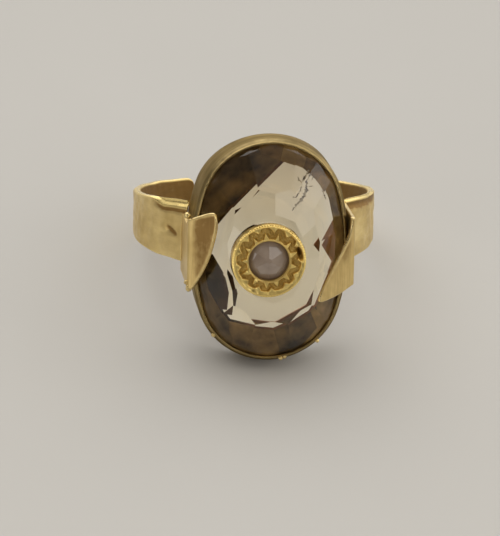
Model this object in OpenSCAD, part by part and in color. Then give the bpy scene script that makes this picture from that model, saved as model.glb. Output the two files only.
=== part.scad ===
// Cocktail ring: a thin gold band of two tapered arms, open behind the finger, an oval faceted stone
// in an open-backed bezel, two folded claws that lap over the stone, and a small rose-cut stone in an
// engraved collet that is pegged through the large stone. All sizes are in millimetres.

/* [Band] */
// Inside diameter of the finger hole
bore_d = 19.5; // [18:0.1:21]
// Thickness of the band
band_t = 0.65; // [0.5:0.05:1]
// Width of the band's arms where they meet the claws
shoulder_w = 4.9; // [4.4:0.1:5.2]
// Width of the band's arms at their ends behind the finger
end_w = 2.6; // [1.8:0.1:4]
// How far the arms rise above the head's middle where they meet the claws
arm_rise = 0.45; // [0:0.05:0.5]
// Space between the ends of the arms
gap_w = 8.6; // [6:0.2:12]

/* [Centre stone] */
// Length of the stone, along the finger
stone_l = 18; // [16.8:0.1:19.6]
// Width of the stone, across the finger
stone_w = 12.2; // [11.6:0.1:12.8]
// How much the radius of the stone's rounded ends falls short of half its width
side_bow = 0.45; // [0.3:0.05:1.2]
// Height of the crown above the girdle
crown_h = 2.9; // [2.4:0.1:3]
// Thickness of the girdle
girdle_t = 0.3; // [0.2:0.05:0.5]
// Depth of the faceted underside below the girdle
pavilion_h = 1.2; // [0.9:0.1:1.6]
// Turn of the underside's main facets and of the seat's window about the stone's middle, in degrees
pavilion_turn = 0; // [-12:1:12]

/* [Bezel] */
// Thickness of the bezel wall
bezel_t = 0.4; // [0.3:0.05:0.6]
// Height of the bezel's rim above the stone's girdle
bezel_lip = 0.3; // [0.25:0.05:0.5]
// Thickness of the seat frame behind the stone
seat_t = 0.4; // [0.3:0.05:0.6]
// Space between the finger and the seat frame
finger_gap = 0.1; // [0.05:0.05:0.5]
// Width of the ledge that the seat frame leaves under the stone's flat back
window_ledge = 0.25; // [0.15:0.05:0.5]
// Clearance round the stone's girdle
stone_fit = 0.04; // [0.02:0.01:0.1]

/* [Claws] */
// Thickness of the claw plates
claw_t = 0.4; // [0.3:0.05:0.6]
// Width of each claw along its fold
claw_w = 6; // [5.9:0.1:7.2]
// Height of the folds above the bezel's rim
claw_rise = 0.4; // [0.35:0.05:0.8]
// Rise of the flaps towards the middle of the stone, in degrees
flap_angle = 37; // [36:1:44]
// How far the left flap reaches in from its fold
left_reach = 2.6; // [1.8:0.1:3]
// How far the right flap reaches in from its fold
right_reach = 3.9; // [2.4:0.1:4.2]
// How far a flap's wide corner runs past the end of its fold
flap_lean = 1.1; // [0.3:0.1:1.4]
// Width left at a flap's narrow end
flap_tip = 0.2; // [0.1:0.05:0.5]
// Fullness of the left flap's free edge
left_bulge = 0.8; // [-0.1:0.1:1]
// Fullness of the right flap's free edge
right_bulge = -0.1; // [-0.1:0.1:1]

/* [Inlay] */
// Sideways offset of the inlay from the middle of the stone
inlay_x = -0.5; // [-0.6:0.1:0.6]
// Diameter of the engraved collet
collet_d = 6.1; // [5.4:0.1:6.4]
// Height of the collet
collet_h = 1.15; // [1.05:0.05:1.35]
// Depth of the seat that is drilled in the stone for the collet
collet_sink = 0.5; // [0.45:0.05:0.6]
// Clearance round the collet and the peg
inlay_fit = 0.03; // [0.02:0.01:0.08]
// Points of the zigzag that is cut round the collet
star_points = 13; // [9:1:16]
// Width of the cut zigzag channel
channel_w = 0.45; // [0.3:0.05:0.5]
// Depth of the cut zigzag channel
channel_depth = 0.32; // [0.15:0.01:0.35]
// Height of the zigzag's points
point_h = 0.5; // [0.3:0.05:0.55]
// Diameter of the small stone
gem_d = 3.4; // [2.8:0.1:3.4]
// Height of the small stone
gem_h = 0.85; // [0.75:0.05:1]
// Floor of the collet under the small stone
gem_floor = 0.25; // [0.2:0.05:0.3]
// How far the collet's lip covers the small stone's edge
gem_cover = 0.12; // [0.08:0.01:0.2]
// Diameter of the peg through the stone
peg_d = 1; // [0.8:0.1:1.4]
// Diameter of the washer behind the stone
washer_d = 2.4; // [2:0.1:3]
// Thickness of the washer
washer_t = 0.2; // [0.15:0.05:0.2]
// Diameter of the peg's riveted head
rivet_d = 1.7; // [1.5:0.1:1.9]
// Height of the peg's riveted head
rivet_h = 0.2; // [0.15:0.05:0.2]

/* [Hidden] */
$fn = 96;

gold = [0.80, 0.62, 0.27];
bore_r = bore_d / 2;
band_r = bore_r + band_t;
// Longer than any piece, for cuts that run right through
through = 3 * band_r + stone_l;

// Distances of the head's levels from the finger hole's axis
back_level = bore_r + finger_gap + seat_t;
seat_level = back_level + pavilion_h;
girdle_level = seat_level + girdle_t;
rim_level = girdle_level + bezel_lip;
fold_level = rim_level + claw_rise;
table_level = girdle_level + crown_h;
inlay_level = table_level - collet_sink;

// The stone's outline is four arcs: two end arcs and two longer side arcs that meet them smoothly
half_l = stone_l / 2;
half_w = stone_w / 2;
stone_end_r = half_w - side_bow;
end_c = half_l - stone_end_r;
side_r = (half_w * half_w + end_c * end_c - stone_end_r * stone_end_r) / (2 * side_bow);
side_c = side_r - half_w;
join_angle = atan2(end_c, side_c);

// Offsets of the stone's outline that give the faces of the bezel
bezel_in = stone_fit;
bezel_out = bezel_in + bezel_t;

claw_in = half_w + bezel_out;
claw_out = claw_in + claw_t;

// Places of the arms' two ends in front of and behind the finger hole's axis
shoulder_y = -sqrt(band_r * band_r - claw_out * claw_out);
end_y = sqrt(band_r * band_r - gap_w * gap_w / 4);

// The ring lies on the bezel's lower end and on the ends of the arms
lie_angle = atan2(half_l + bezel_out - end_w / 2, bore_r + end_y);

gem_girdle = 0.25;
gem_crown = gem_h - gem_girdle;
gem_r = gem_d / 2;
lip_r = gem_r - gem_cover;

collet_r = collet_d / 2;
zigzag_r = (collet_r + lip_r) / 2;
peg_r = peg_d / 2;

// Distance from the middle of the stone's outline to its tangent in direction phi
function outline_reach(phi) =
    atan2(abs(sin(phi)), abs(cos(phi))) < join_angle
        ? side_r - side_c * abs(cos(phi))
        : stone_end_r + end_c * abs(sin(phi));

// Direction that the stone's outline faces at a share of the way round it, from the right side on
side_run = side_r * join_angle * PI / 180;
quarter_run = side_run + stone_end_r * (90 - join_angle) * PI / 180;
function quarter_facing(run) =
    run < side_run ? run / side_r * 180 / PI : join_angle + (run - side_run) / stone_end_r * 180 / PI;
function facing(share) =
    let (quarter = floor(4 * share), part = 4 * share - quarter)
        quarter % 2 == 0
            ? 90 * quarter + quarter_facing(part * quarter_run)
            : 90 * (quarter + 1) - quarter_facing((1 - part) * quarter_run);

// A row of facets, each as [direction, outer point, inner point]. A point is a share of the outline
// and a share of the crown's or the pavilion's height.
function oval_row(count, start, outer, inner) =
    [for (k = [0 : count - 1]) [facing((k + start) / count), outer, inner]];
function round_row(count, start, outer, inner) =
    [for (k = [0 : count - 1]) [360 * (k + start) / count, outer, inner]];

crown_facets = concat(
    oval_row(24, 0.5, [1, 0], [0.91, 0.38]),
    oval_row(12, 0, [0.99, 0.06], [0.60, 0.86]),
    oval_row(12, 0.5, [0.70, 0.76], [0.40, 1])
);
// The stone's flat back has eight uneven sides, each as [direction, share of the outline]
back_sides = [for (side = [[-25, 0.65], [36, 0.80], [56, 0.83], [137, 0.515], [170, 0.72], [214, 0.72],
    [262, 0.66], [300, 0.64]]) [side[0] + pavilion_turn, side[1]]];
pavilion_facets = concat(
    oval_row(24, 0, [1, 0], [0.93, 0.30]),
    oval_row(16, 0.5, [0.96, 0.20], [0.87, 0.70]),
    [for (side = back_sides) [side[0], [0.94, 0.24], [side[1], 1]]]
);
// The seat frame's two tabs under the stone, as shares of half its width and half its length
right_tab = [[0.50, 0.04], [0.71, -0.13], [1.20, -0.13], [1.20, 0.34], [0.84, 0.34]];
left_tab = [[-0.36, -0.38], [-0.41, -0.24], [-0.62, -0.05], [-1.20, -0.05], [-1.20, -0.55], [-0.40, -0.55]];
gem_facets = concat(
    round_row(12, 0.5, [1, 0], [0.66, 0.62]),
    round_row(6, 0, [0.80, 0.46], [0.12, 1])
);

// A point on a cubic curve through a and d that leaves towards b and arrives from c
function curve(a, b, c, d, t) =
    pow(1 - t, 3) * a + 3 * t * pow(1 - t, 2) * b + 3 * t * t * (1 - t) * c + pow(t, 3) * d;

// Turns the finger hole's axis from upright to where it is when the ring lies at rest
module at_rest() {
    rotate([-lie_angle, 0, 0]) children();
}

// Frame of the head: x across the finger, y along it, z outwards from the finger hole's axis
module head() {
    at_rest() rotate([90, 0, 0]) children();
}

module inlay() {
    head() translate([inlay_x, 0, 0]) children();
}

// The finger hole, in the head's frame
module finger() {
    rotate([90, 0, 0]) cylinder(r = bore_r, h = through, center = true);
}

// The stone's outline, moved out by grow
module outline(grow = 0) {
    join_y = end_c * (1 + (stone_end_r + grow) / (side_r - stone_end_r));
    for (side = [-1, 1]) translate([0, side * end_c]) circle(r = stone_end_r + grow);
    intersection() {
        translate([side_c, 0]) circle(r = side_r + grow);
        translate([-side_c, 0]) circle(r = side_r + grow);
        square([2 * claw_out, 2 * join_y], center = true);
    }
}

// Everything outside a facet that faces phi and runs from the outer to the inner point, moved out by
// grow. The facet climbs from base when height is positive and falls from it when height is negative.
module facet_waste(phi, reach, base, height, outer, inner, grow) {
    run = (outer[0] - inner[0]) * reach;
    rise = (inner[1] - outer[1]) * height;
    tilt = height > 0 ? atan2(rise, run) : atan2(-rise, -run);
    rotate([0, 0, phi])
        translate([outer[0] * reach + grow, 0, base + outer[1] * height])
            rotate([0, tilt, 0])
                translate([-stone_l, -stone_l, 0])
                    cube([2 * stone_l, 2 * stone_l, stone_l]);
}

// Cuts facets one after the other from a round or an oval stone
module cut_facets(facets, base, height, round_r = 0, grow = 0, first = 0) {
    if (first == len(facets)) {
        children();
    } else {
        facet = facets[first];
        reach = round_r > 0 ? round_r : outline_reach(facet[0]);
        difference() {
            cut_facets(facets, base, height, round_r, grow, first + 1) children();
            facet_waste(facet[0], reach, base, height, facet[1], facet[2], grow);
        }
    }
}

// The stone's faceted underside below a level, moved out by grow, in the head's frame
module underside(top_level, grow = 0) {
    cut_facets(pavilion_facets, seat_level, -pavilion_h, grow = grow)
        translate([0, 0, back_level]) linear_extrude(height = top_level - back_level) outline(grow);
}

// The cut stone before it is drilled, in the head's frame
module cut_stone() {
    cut_facets(crown_facets, girdle_level, crown_h) underside(table_level);
}

// Side view of the band's arms, which narrow evenly from the claws to their free ends
module arm_taper() {
    fall = end_y - shoulder_y;
    top_slope = (arm_rise + (shoulder_w - end_w) / 2) / fall;
    low_slope = (arm_rise - (shoulder_w - end_w) / 2) / fall;
    front = band_r + end_y;
    back = end_y - band_r;
    rotate([90, 0, 90]) linear_extrude(height = 2 * band_r) polygon([
        [-band_r, low_slope * front - end_w / 2], [band_r, low_slope * back - end_w / 2],
        [band_r, top_slope * back + end_w / 2], [-band_r, top_slope * front + end_w / 2]
    ]);
}

// The right arm: from the claw's outer face to its free end behind the finger
module arm() {
    difference() {
        intersection() {
            cylinder(r = band_r, h = 2 * shoulder_w, center = true);
            arm_taper();
        }
        cylinder(r = bore_r, h = through, center = true);
        translate([claw_out - through, -through, -through / 2]) cube(through);
        translate([gap_w / 2 - through, 0, -through / 2]) cube(through);
    }
}

module left_arm() {
    color(gold) at_rest() mirror([1, 0, 0]) arm();
}

module right_arm() {
    color(gold) at_rest() arm();
}

// Flat shape of a flap: x along the fold, y in from the fold, wide at the low end of x
module flap_shape(reach, bulge) {
    low = -claw_w / 2;
    high = claw_w / 2;
    corner = [low - flap_lean, reach];
    leave = [high - 0.30 * claw_w, 0.70 * bulge * reach];
    arrive = [high - 0.63 * claw_w, (0.65 + 0.35 * bulge) * reach];
    steps = 12;
    edge = [for (k = [0 : steps]) curve([high, flap_tip], leave, arrive, corner, k / steps)];
    polygon(concat([[low, 0], [high, 0]], edge, [corner + [-0.10, -0.18], corner + [-0.05, -0.45]]));
}

// The right claw in the head's frame: a leg along the bezel, a bend, and a flap over the stone
module claw(reach, bulge) {
    difference() {
        translate([claw_in, -claw_w / 2, 0]) cube([claw_t, claw_w, fold_level]);
        finger();
    }
    translate([claw_in, claw_w / 2, fold_level]) rotate([90, 0, 0])
        rotate_extrude(angle = 90 - flap_angle) square([claw_t, claw_w]);
    translate([claw_in, 0, fold_level]) rotate([0, flap_angle, 0]) rotate([0, 0, 90])
        linear_extrude(height = claw_t) flap_shape(reach, bulge);
}

module left_claw() {
    color(gold) head() rotate([0, 0, 180]) claw(left_reach, left_bulge);
}

module right_claw() {
    color(gold) head() claw(right_reach, right_bulge);
}

module bezel_wall() {
    color(gold) head() difference() {
        linear_extrude(height = rim_level) difference() {
            outline(bezel_out);
            outline(bezel_in);
        }
        finger();
    }
}

// Opening in the seat frame, a little smaller than the stone's flat back, with two tabs left in it
module window_shape() {
    difference() {
        intersection_for (side = back_sides) {
            far = side[1] * outline_reach(side[0]) - window_ledge;
            rotate(side[0]) translate([far - through, -through / 2]) square(through);
        }
        for (tab = [right_tab, left_tab]) polygon([for (p = tab) [p[0] * half_w, p[1] * half_l]]);
    }
}

// Frame inside the bezel, with its upper side cut to fit the stone's underside
module seat_frame() {
    color(gold) head() difference() {
        translate([0, 0, back_level - seat_t]) linear_extrude(height = seat_level - back_level + seat_t)
            outline(bezel_in);
        translate([0, 0, back_level - 2 * seat_t]) linear_extrude(height = through) window_shape();
        underside(girdle_level, stone_fit / 2);
    }
}

module centre_stone() {
    color([0.72, 0.64, 0.42, 0.5]) difference() {
        head() cut_stone();
        inlay() translate([0, 0, inlay_level]) cylinder(r = collet_r + inlay_fit, h = through);
        inlay() cylinder(r = peg_r + inlay_fit, h = through);
    }
}

// Zigzag ring shape with the given radius halfway between its points and its notches
module zigzag(mid_r) {
    step = 360 / star_points;
    polygon([for (k = [0 : 2 * star_points - 1])
        let (r = mid_r + (k % 2 == 0 ? 0.5 : -0.5) * point_h)
            [r * cos(k * step / 2), r * sin(k * step / 2)]]);
}

module inlay_collet() {
    lip_level = gem_floor + gem_girdle + gem_cover;
    color(gold) inlay() translate([0, 0, inlay_level]) difference() {
        cylinder(r = collet_r, h = collet_h);
        translate([0, 0, collet_h - channel_depth]) linear_extrude(height = collet_h) difference() {
            zigzag(zigzag_r + channel_w / 2);
            zigzag(zigzag_r - channel_w / 2);
        }
        translate([0, 0, gem_floor]) cylinder(r = gem_r, h = lip_level - gem_floor);
        translate([0, 0, gem_floor]) cylinder(r = lip_r, h = collet_h);
    }
}

module inlay_peg() {
    cap_r = (rivet_d * rivet_d / 4 + rivet_h * rivet_h) / (2 * rivet_h);
    rivet_level = back_level - washer_t;
    color(gold) inlay() {
        translate([0, 0, rivet_level]) cylinder(r = peg_r, h = inlay_level - rivet_level);
        intersection() {
            translate([0, 0, rivet_level - rivet_h + cap_r]) sphere(r = cap_r);
            translate([0, 0, rivet_level - rivet_h]) cylinder(d = rivet_d, h = rivet_h);
        }
    }
}

module peg_washer() {
    color(gold) inlay() translate([0, 0, back_level - washer_t]) difference() {
        cylinder(d = washer_d, h = washer_t);
        cylinder(r = peg_r + inlay_fit, h = through, center = true);
    }
}

module inlay_stone() {
    color([0.50, 0.45, 0.43]) inlay() translate([0, 0, inlay_level + gem_floor])
        cut_facets(gem_facets, gem_girdle, gem_crown, gem_r)
            cylinder(r = gem_r, h = gem_h);
}

left_arm();
right_arm();
left_claw();
right_claw();
bezel_wall();
seat_frame();
centre_stone();
inlay_collet();
inlay_peg();
peg_washer();
inlay_stone();
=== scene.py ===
"""Looks of the cocktail ring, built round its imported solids.

Sizes are in millimetres and become metres only when a mesh is made. Two working frames are used,
both turned so that the ring lies at rest. The ring frame has the finger hole's axis along z and the
head towards -y. The head frame has x across the finger, y along it and d outwards from the finger.
"""

import logging
import math
from collections.abc import Callable
from dataclasses import dataclass, field
from enum import Enum
from functools import wraps

import bpy
import numpy as np
from mathutils import Matrix, Vector

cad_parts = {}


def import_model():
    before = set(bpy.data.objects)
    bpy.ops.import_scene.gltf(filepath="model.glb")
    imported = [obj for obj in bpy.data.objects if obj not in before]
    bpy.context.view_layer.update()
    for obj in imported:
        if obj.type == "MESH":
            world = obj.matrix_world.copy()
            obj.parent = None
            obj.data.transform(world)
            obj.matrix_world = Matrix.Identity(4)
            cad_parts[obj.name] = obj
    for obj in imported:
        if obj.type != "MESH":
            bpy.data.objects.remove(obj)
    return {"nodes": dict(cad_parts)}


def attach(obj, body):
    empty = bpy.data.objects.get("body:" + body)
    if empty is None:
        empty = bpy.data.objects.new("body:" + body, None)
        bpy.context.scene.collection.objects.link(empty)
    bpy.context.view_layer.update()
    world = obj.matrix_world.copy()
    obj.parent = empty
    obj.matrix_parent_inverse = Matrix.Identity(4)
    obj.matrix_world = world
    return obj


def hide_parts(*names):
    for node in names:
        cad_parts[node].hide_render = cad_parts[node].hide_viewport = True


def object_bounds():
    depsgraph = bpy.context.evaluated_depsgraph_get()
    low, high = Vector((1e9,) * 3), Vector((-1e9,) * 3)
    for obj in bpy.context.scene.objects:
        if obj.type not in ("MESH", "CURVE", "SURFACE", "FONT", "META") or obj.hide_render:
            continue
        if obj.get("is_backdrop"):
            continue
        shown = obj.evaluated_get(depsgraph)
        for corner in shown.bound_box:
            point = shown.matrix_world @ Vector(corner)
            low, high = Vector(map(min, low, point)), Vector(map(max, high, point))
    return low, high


LOG = logging.getLogger("ring")
MM = 0.001
MICROMETRE = 1e-6
QUARTER_TURN = math.pi / 2.0
FULL_TURN = 2.0 * math.pi
# A distance in millimetres that is past every rounded edge
FAR = 9.0
WHITE = (1.0, 1.0, 1.0)

Array = np.ndarray
Pair = tuple[float, float]
Place = tuple[float, float, float]
Color = tuple[float, float, float]
Material = bpy.types.Material
Node = bpy.types.Node
NodeTree = bpy.types.NodeTree
Object = bpy.types.Object
Outputs = bpy.types.NodeOutputs
Socket = bpy.types.NodeSocket


class Side(Enum):
    """The ring's two sides, with the sign that places their pieces."""

    RIGHT = 1.0
    LEFT = -1.0


class Mask(Enum):
    """Values that the meshes carry for their finishes: rubbed edges, partly a painted highlight, and painted
    shade.
    """

    EDGE = "edge"
    # Painted shade: a darker colour in hollows, creases, inner faces and flaps.
    RECESS = "recess"


def finger_reach(x: Array, radius: float) -> Array:
    """Distance d at which a cylinder round the finger is met at x: the root of radius^2 - x^2."""
    return np.sqrt(radius**2 - x**2)


def ripple(seed: int, longest: float, *coords: Array) -> Array:
    """Smooth unevenness between about -1 and 1: six sine waves with seeded directions and phases.

    Args:
        seed: Number that picks the waves.
        longest: Length of the longest wave.
        coords: Coordinates of the points, as arrays that fit each other.

    Returns:
        The height at each point.
    """
    waves, shorter = 6, 0.74
    rng = np.random.default_rng(seed)
    points = np.stack(np.broadcast_arrays(*coords), axis=-1)
    ways = rng.normal(size=(points.shape[-1], waves))
    ways /= np.linalg.norm(ways, axis=0)
    lengths = longest * shorter ** np.arange(waves)
    phases = rng.uniform(0.0, FULL_TURN, waves)
    return np.sin(points @ (ways * FULL_TURN / lengths) + phases).sum(axis=-1) / (waves / 2.0)


def hollows(seed: int, u: Array, v: Array, low: Pair, high: Pair, count: int, size: float) -> Array:
    """Hammer marks: at each point the deepest of many shallow round hollows, one less the squared distance.

    Args:
        seed: Number that picks the places and sizes.
        u: First surface coordinate of the points.
        v: Second surface coordinate of the points.
        low: Lowest u and v of a mark's middle.
        high: Highest u and v of a mark's middle.
        count: Number of marks.
        size: Mean radius of a mark.

    Returns:
        Depth from 0 to 1 at each point.
    """
    least, greatest = 0.7, 1.35
    rng = np.random.default_rng(seed)
    middle = rng.uniform(low, high, size=(count, 2))
    radius = size * rng.uniform(least, greatest, count)
    gap = ((u[..., None] - middle[:, 0]) ** 2 + (v[..., None] - middle[:, 1]) ** 2) / radius**2
    return np.maximum(0.0, 1.0 - gap).max(axis=-1)


def smooth_step(low: float, high: float, value: Array) -> Array:
    """Eases from 0 at low to 1 at high by the cubic 3t^2 - 2t^3."""
    t = np.clip((value - low) / (high - low), 0.0, 1.0)
    return t * t * (3.0 - 2.0 * t)


def round_over(distance: Array, radius: float) -> Array:
    """Height of a quarter circle at a distance from the edge, as a share of its radius."""
    return np.sqrt(1.0 - (1.0 - np.clip(distance / radius, 0.0, 1.0)) ** 2)


def bell(distance: Array, width: float, power: int = 2) -> Array:
    """A bell curve: e to minus the distance over the width, raised to an even power."""
    return np.exp(-((distance / width) ** power))


def near_start(share: Array, until: float) -> Array:
    """One at the start of a line, falling by a square to 0 at a share of it."""
    return np.clip(1.0 - share / until, 0.0, 1.0) ** 2


@dataclass(frozen=True)
class RestFrame:
    """Turns ring and head coordinates into the frame in which the ring lies at rest.

    Attributes:
        lie: Angle in radians between the finger hole's axis and the upright.
    """

    lie: float

    def from_ring(self, x: Array, y: Array, z: Array) -> Array:
        """Turns points of the ring frame by minus the lie angle about x.

        Args:
            x: Places across the finger.
            y: Places behind the finger hole's axis.
            z: Places along the finger.

        Returns:
            The points in the rest frame.
        """
        c, s = math.cos(self.lie), math.sin(self.lie)
        x, y, z = np.broadcast_arrays(x, y, z)
        return np.stack([x, y * c + z * s, z * c - y * s], axis=-1)

    def from_head(self, x: Array, y: Array, d: Array) -> Array:
        """Points of the head frame, whose d is the ring frame's -y and whose y is its z."""
        return self.from_ring(x, -np.asarray(d), y)


def add_object(name: str, data: bpy.types.ID) -> Object:
    """Puts a mesh, a camera or a lamp into the scene.

    Args:
        name: Name of the new object.
        data: What it shows.

    Returns:
        The new object.
    """
    made = bpy.data.objects.new(name, data)
    bpy.context.scene.collection.objects.link(made)
    return made


@dataclass
class Surface:
    """A closed surface as arrays, before it becomes a mesh.

    Attributes:
        points: Places in millimetres, one row each.
        quads: Point numbers of the four-sided faces.
        triangles: Point numbers of the three-sided faces.
        chart: Flat coordinates of each quad's corners, in millimetres.
        masks: Values of each point for the finishes.
    """

    points: Array
    quads: Array
    triangles: Array = field(default_factory=lambda: np.zeros((0, 3), int))
    chart: Array | None = None
    masks: dict[Mask, Array] = field(default_factory=dict)

    def volume(self) -> float:
        """Signed volume: the sum of the pyramids from the origin to every triangle.

        Returns:
            The volume, below 0 if the faces point inwards.
        """
        halves = [self.quads[:, [0, 1, 2]], self.quads[:, [0, 2, 3]], self.triangles]
        corner = self.points[np.concatenate(halves)]
        return float(np.einsum("ij,ij->", corner[:, 0], np.cross(corner[:, 1], corner[:, 2]))) / 6.0

    def turn_outwards(self) -> None:
        """Turns every face round if the surface is inside out."""
        if self.volume() < 0.0:
            self.quads = self.quads[:, ::-1]
            self.triangles = self.triangles[:, ::-1]
            if self.chart is not None:
                self.chart = self.chart[:, ::-1]

    def to_object(self, name: str) -> Object:
        """Puts the arrays into a mesh at the origin.

        Args:
            name: Name of the piece.

        Returns:
            The new object, in the scene and riding on the ring's body.
        """
        self.turn_outwards()
        mesh = bpy.data.meshes.new(name)
        corners = np.concatenate([self.quads.ravel(), self.triangles.ravel()])
        quad_corners = self.quads.size
        count = len(self.quads) + len(self.triangles)
        starts = [np.arange(0, quad_corners, 4), np.arange(quad_corners, len(corners), 3)]
        mesh.vertices.add(len(self.points))
        mesh.vertices.foreach_set("co", (self.points * MM).astype(np.float32).ravel())
        mesh.loops.add(len(corners))
        mesh.loops.foreach_set("vertex_index", corners.astype(np.int32))
        mesh.polygons.add(count)
        mesh.polygons.foreach_set("loop_start", np.concatenate(starts).astype(np.int32))
        mesh.polygons.foreach_set("use_smooth", np.ones(count, bool))
        if self.chart is not None:
            flat = np.zeros((len(corners), 2), np.float32)
            flat[:quad_corners] = self.chart.reshape(-1, 2)
            layer = mesh.uv_layers.new(name="chart")
            layer.data.foreach_set("uv", flat.ravel())
        for mask, values in self.masks.items():
            attribute = mesh.attributes.new(mask.value, "FLOAT", "POINT")
            attribute.data.foreach_set("value", values.astype(np.float32).ravel())
        mesh.update(calc_edges=True)
        mesh.validate()
        piece = add_object(name, mesh)
        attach(piece, "root")
        LOG.info("%s: %d points, %d faces", name, len(self.points), count)
        return piece


def grid_corners(rows: int, cols: int, wrap_rows: bool = False, wrap_cols: bool = False) -> Array:
    """Row and column numbers of the four corners of every cell of a grid, counted on past a seam.

    Args:
        rows: Number of rows of points.
        cols: Number of columns of points.
        wrap_rows: Whether the last row joins the first.
        wrap_cols: Whether the last column joins the first.

    Returns:
        An array of cells by four corners by row and column.
    """
    cells = (np.arange(rows - (not wrap_rows)), np.arange(cols - (not wrap_cols)))
    row, col = np.meshgrid(*cells, indexing="ij")
    turns = [(0, 0), (1, 0), (1, 1), (0, 1)]
    return np.stack([np.stack([row + r, col + c], axis=-1) for r, c in turns], axis=2).reshape(-1, 4, 2)


def grid_quads(corners: Array, rows: int, cols: int) -> Array:
    """Point numbers of the cells' corners, with the seams joined."""
    return (corners[..., 0] % rows) * cols + corners[..., 1] % cols


def flat_chart(corners: Array, along: Array, around: Array) -> Array:
    """Flat coordinates of the cells' corners, from those of the rows and of the columns."""
    return np.stack([along[corners[..., 0]], around[corners[..., 1]]], axis=-1)


def capped_tube(
    skin: Array,
    poles: Array,
    masks: dict[Mask, Array],
    chart: tuple[Array, Array] | None = None,
    turn: int = 1,
) -> Surface:
    """A tube of closed rings of points, with a fan from a pole to the first ring and one to the last.

    Args:
        skin: Rings of points, one row each.
        poles: The two poles.
        masks: Values of the rings' points; the poles get 0.
        chart: Flat coordinates of the rows and of the columns, if it has any.
        turn: 1 if the fans face as the rings' cells do, -1 if they face the other way.

    Returns:
        The closed surface.
    """
    rows, cols = skin.shape[:2]
    corners = grid_corners(rows, cols, wrap_cols=True)
    ring = np.arange(cols)
    following = (ring + 1) % cols
    last = (rows - 1) * cols
    pole = np.full(cols, rows * cols)
    fans = [(pole, ring, following), (pole + 1, last + following, last + ring)]
    return Surface(
        points=np.concatenate([skin.reshape(-1, 3), poles]),
        quads=grid_quads(corners, rows, cols),
        triangles=np.concatenate([np.stack(fan, axis=1)[:, ::turn] for fan in fans]),
        chart=flat_chart(corners, *chart) if chart else None,
        masks={mask: np.append(values, (0.0, 0.0)) for mask, values in masks.items()},
    )


def pillow_plate(top: Array, under: Array, chart: Array, masks: dict[Mask, Array]) -> Surface:
    """A plate of two sheets that share their border.

    Args:
        top: Grid of points of the upper sheet.
        under: Grid of points of the lower sheet, the same on its border.
        chart: Flat coordinates of the grid.
        masks: Values of the grid's points.

    Returns:
        The closed surface.
    """
    rows, cols = top.shape[:2]
    numbers = np.arange(rows * cols).reshape(rows, cols)
    lower = numbers.copy()
    lower[1:-1, 1:-1] = rows * cols + np.arange((rows - 2) * (cols - 2)).reshape(rows - 2, cols - 2)
    corners = grid_corners(rows, cols)
    row, col = corners[..., 0], corners[..., 1]
    inner = (slice(1, -1), slice(1, -1))
    return Surface(
        points=np.concatenate([top.reshape(-1, 3), under[inner].reshape(-1, 3)]),
        quads=np.concatenate([numbers[row, col], lower[row, col][:, ::-1]]),
        chart=np.concatenate([chart[row, col], chart[row, col][:, ::-1]]),
        masks={m: np.concatenate([v.ravel(), v[inner].ravel()]) for m, v in masks.items()},
    )


def join(parts: list[Surface]) -> Surface:
    """Several closed surfaces as one, with their point numbers counted on.

    Args:
        parts: Surfaces that either all have charts or all have none, without masks.

    Returns:
        The joined surface.
    """
    starts = np.cumsum([0] + [len(part.points) for part in parts[:-1]])
    charts = [part.chart for part in parts if part.chart is not None]
    return Surface(
        points=np.concatenate([part.points for part in parts]),
        quads=np.concatenate([part.quads + start for part, start in zip(parts, starts)]),
        triangles=np.concatenate([part.triangles + start for part, start in zip(parts, starts)]),
        chart=np.concatenate(charts) if charts else None,
    )


@dataclass(frozen=True)
class Oval:
    """Outline of the centre stone: two end arcs and two longer side arcs that meet them smoothly.

    Attributes:
        half_l: Half its length.
        half_w: Half its width.
        bow: How much the end arcs' radius falls short of half the width.
    """

    half_l: float = 9.0
    half_w: float = 6.1
    bow: float = 0.45

    @property
    def end_r(self) -> float:
        """Radius of the end arcs."""
        return self.half_w - self.bow

    @property
    def end_c(self) -> float:
        """Distance of the end arcs' centres from the middle."""
        return self.half_l - self.end_r

    @property
    def side_r(self) -> float:
        """Radius of the side arcs, which touch the end arcs from outside."""
        return (self.half_w**2 + self.end_c**2 - self.end_r**2) / (2.0 * self.bow)

    @property
    def side_c(self) -> float:
        """Distance of the side arcs' centres from the middle, on the far side of it."""
        return self.side_r - self.half_w

    @property
    def meeting(self) -> float:
        """Direction in radians in which a side arc meets an end arc."""
        return math.atan2(self.end_c, self.side_c)

    def facing(self, share: Array) -> Array:
        """Direction that the outline faces at a share of the way round it, from the right side on.

        Args:
            share: Shares from 0 to 1.

        Returns:
            Angles in radians: run over radius on each arc, folded into the four quarters.
        """
        side_run = self.side_r * self.meeting
        quarter_run = side_run + self.end_r * (QUARTER_TURN - self.meeting)
        quarter = np.floor(4.0 * (share % 1.0))
        part = (4.0 * (share % 1.0) - quarter) * quarter_run
        odd = quarter % 2 == 1
        part = np.where(odd, quarter_run - part, part)
        angle = np.where(
            part < side_run, part / self.side_r, self.meeting + (part - side_run) / self.end_r
        )
        return np.where(odd, (quarter + 1.0) * QUARTER_TURN - angle, quarter * QUARTER_TURN + angle)

    def at(self, phi: Array, grow: Array) -> tuple[Array, Array]:
        """Points of the outline that face phi, moved out by grow.

        Args:
            phi: Directions in radians.
            grow: Distances outwards.

        Returns:
            Their x and y: the arc's centre plus its radius in the direction.
        """
        c, s = np.cos(phi), np.sin(phi)
        on_side = np.arctan2(np.abs(s), np.abs(c)) < self.meeting
        radius = np.where(on_side, self.side_r, self.end_r) + grow
        x = radius * c - np.where(on_side, self.side_c * np.sign(c), 0.0)
        y = radius * s + np.where(on_side, 0.0, self.end_c * np.sign(s))
        return x, y


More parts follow.
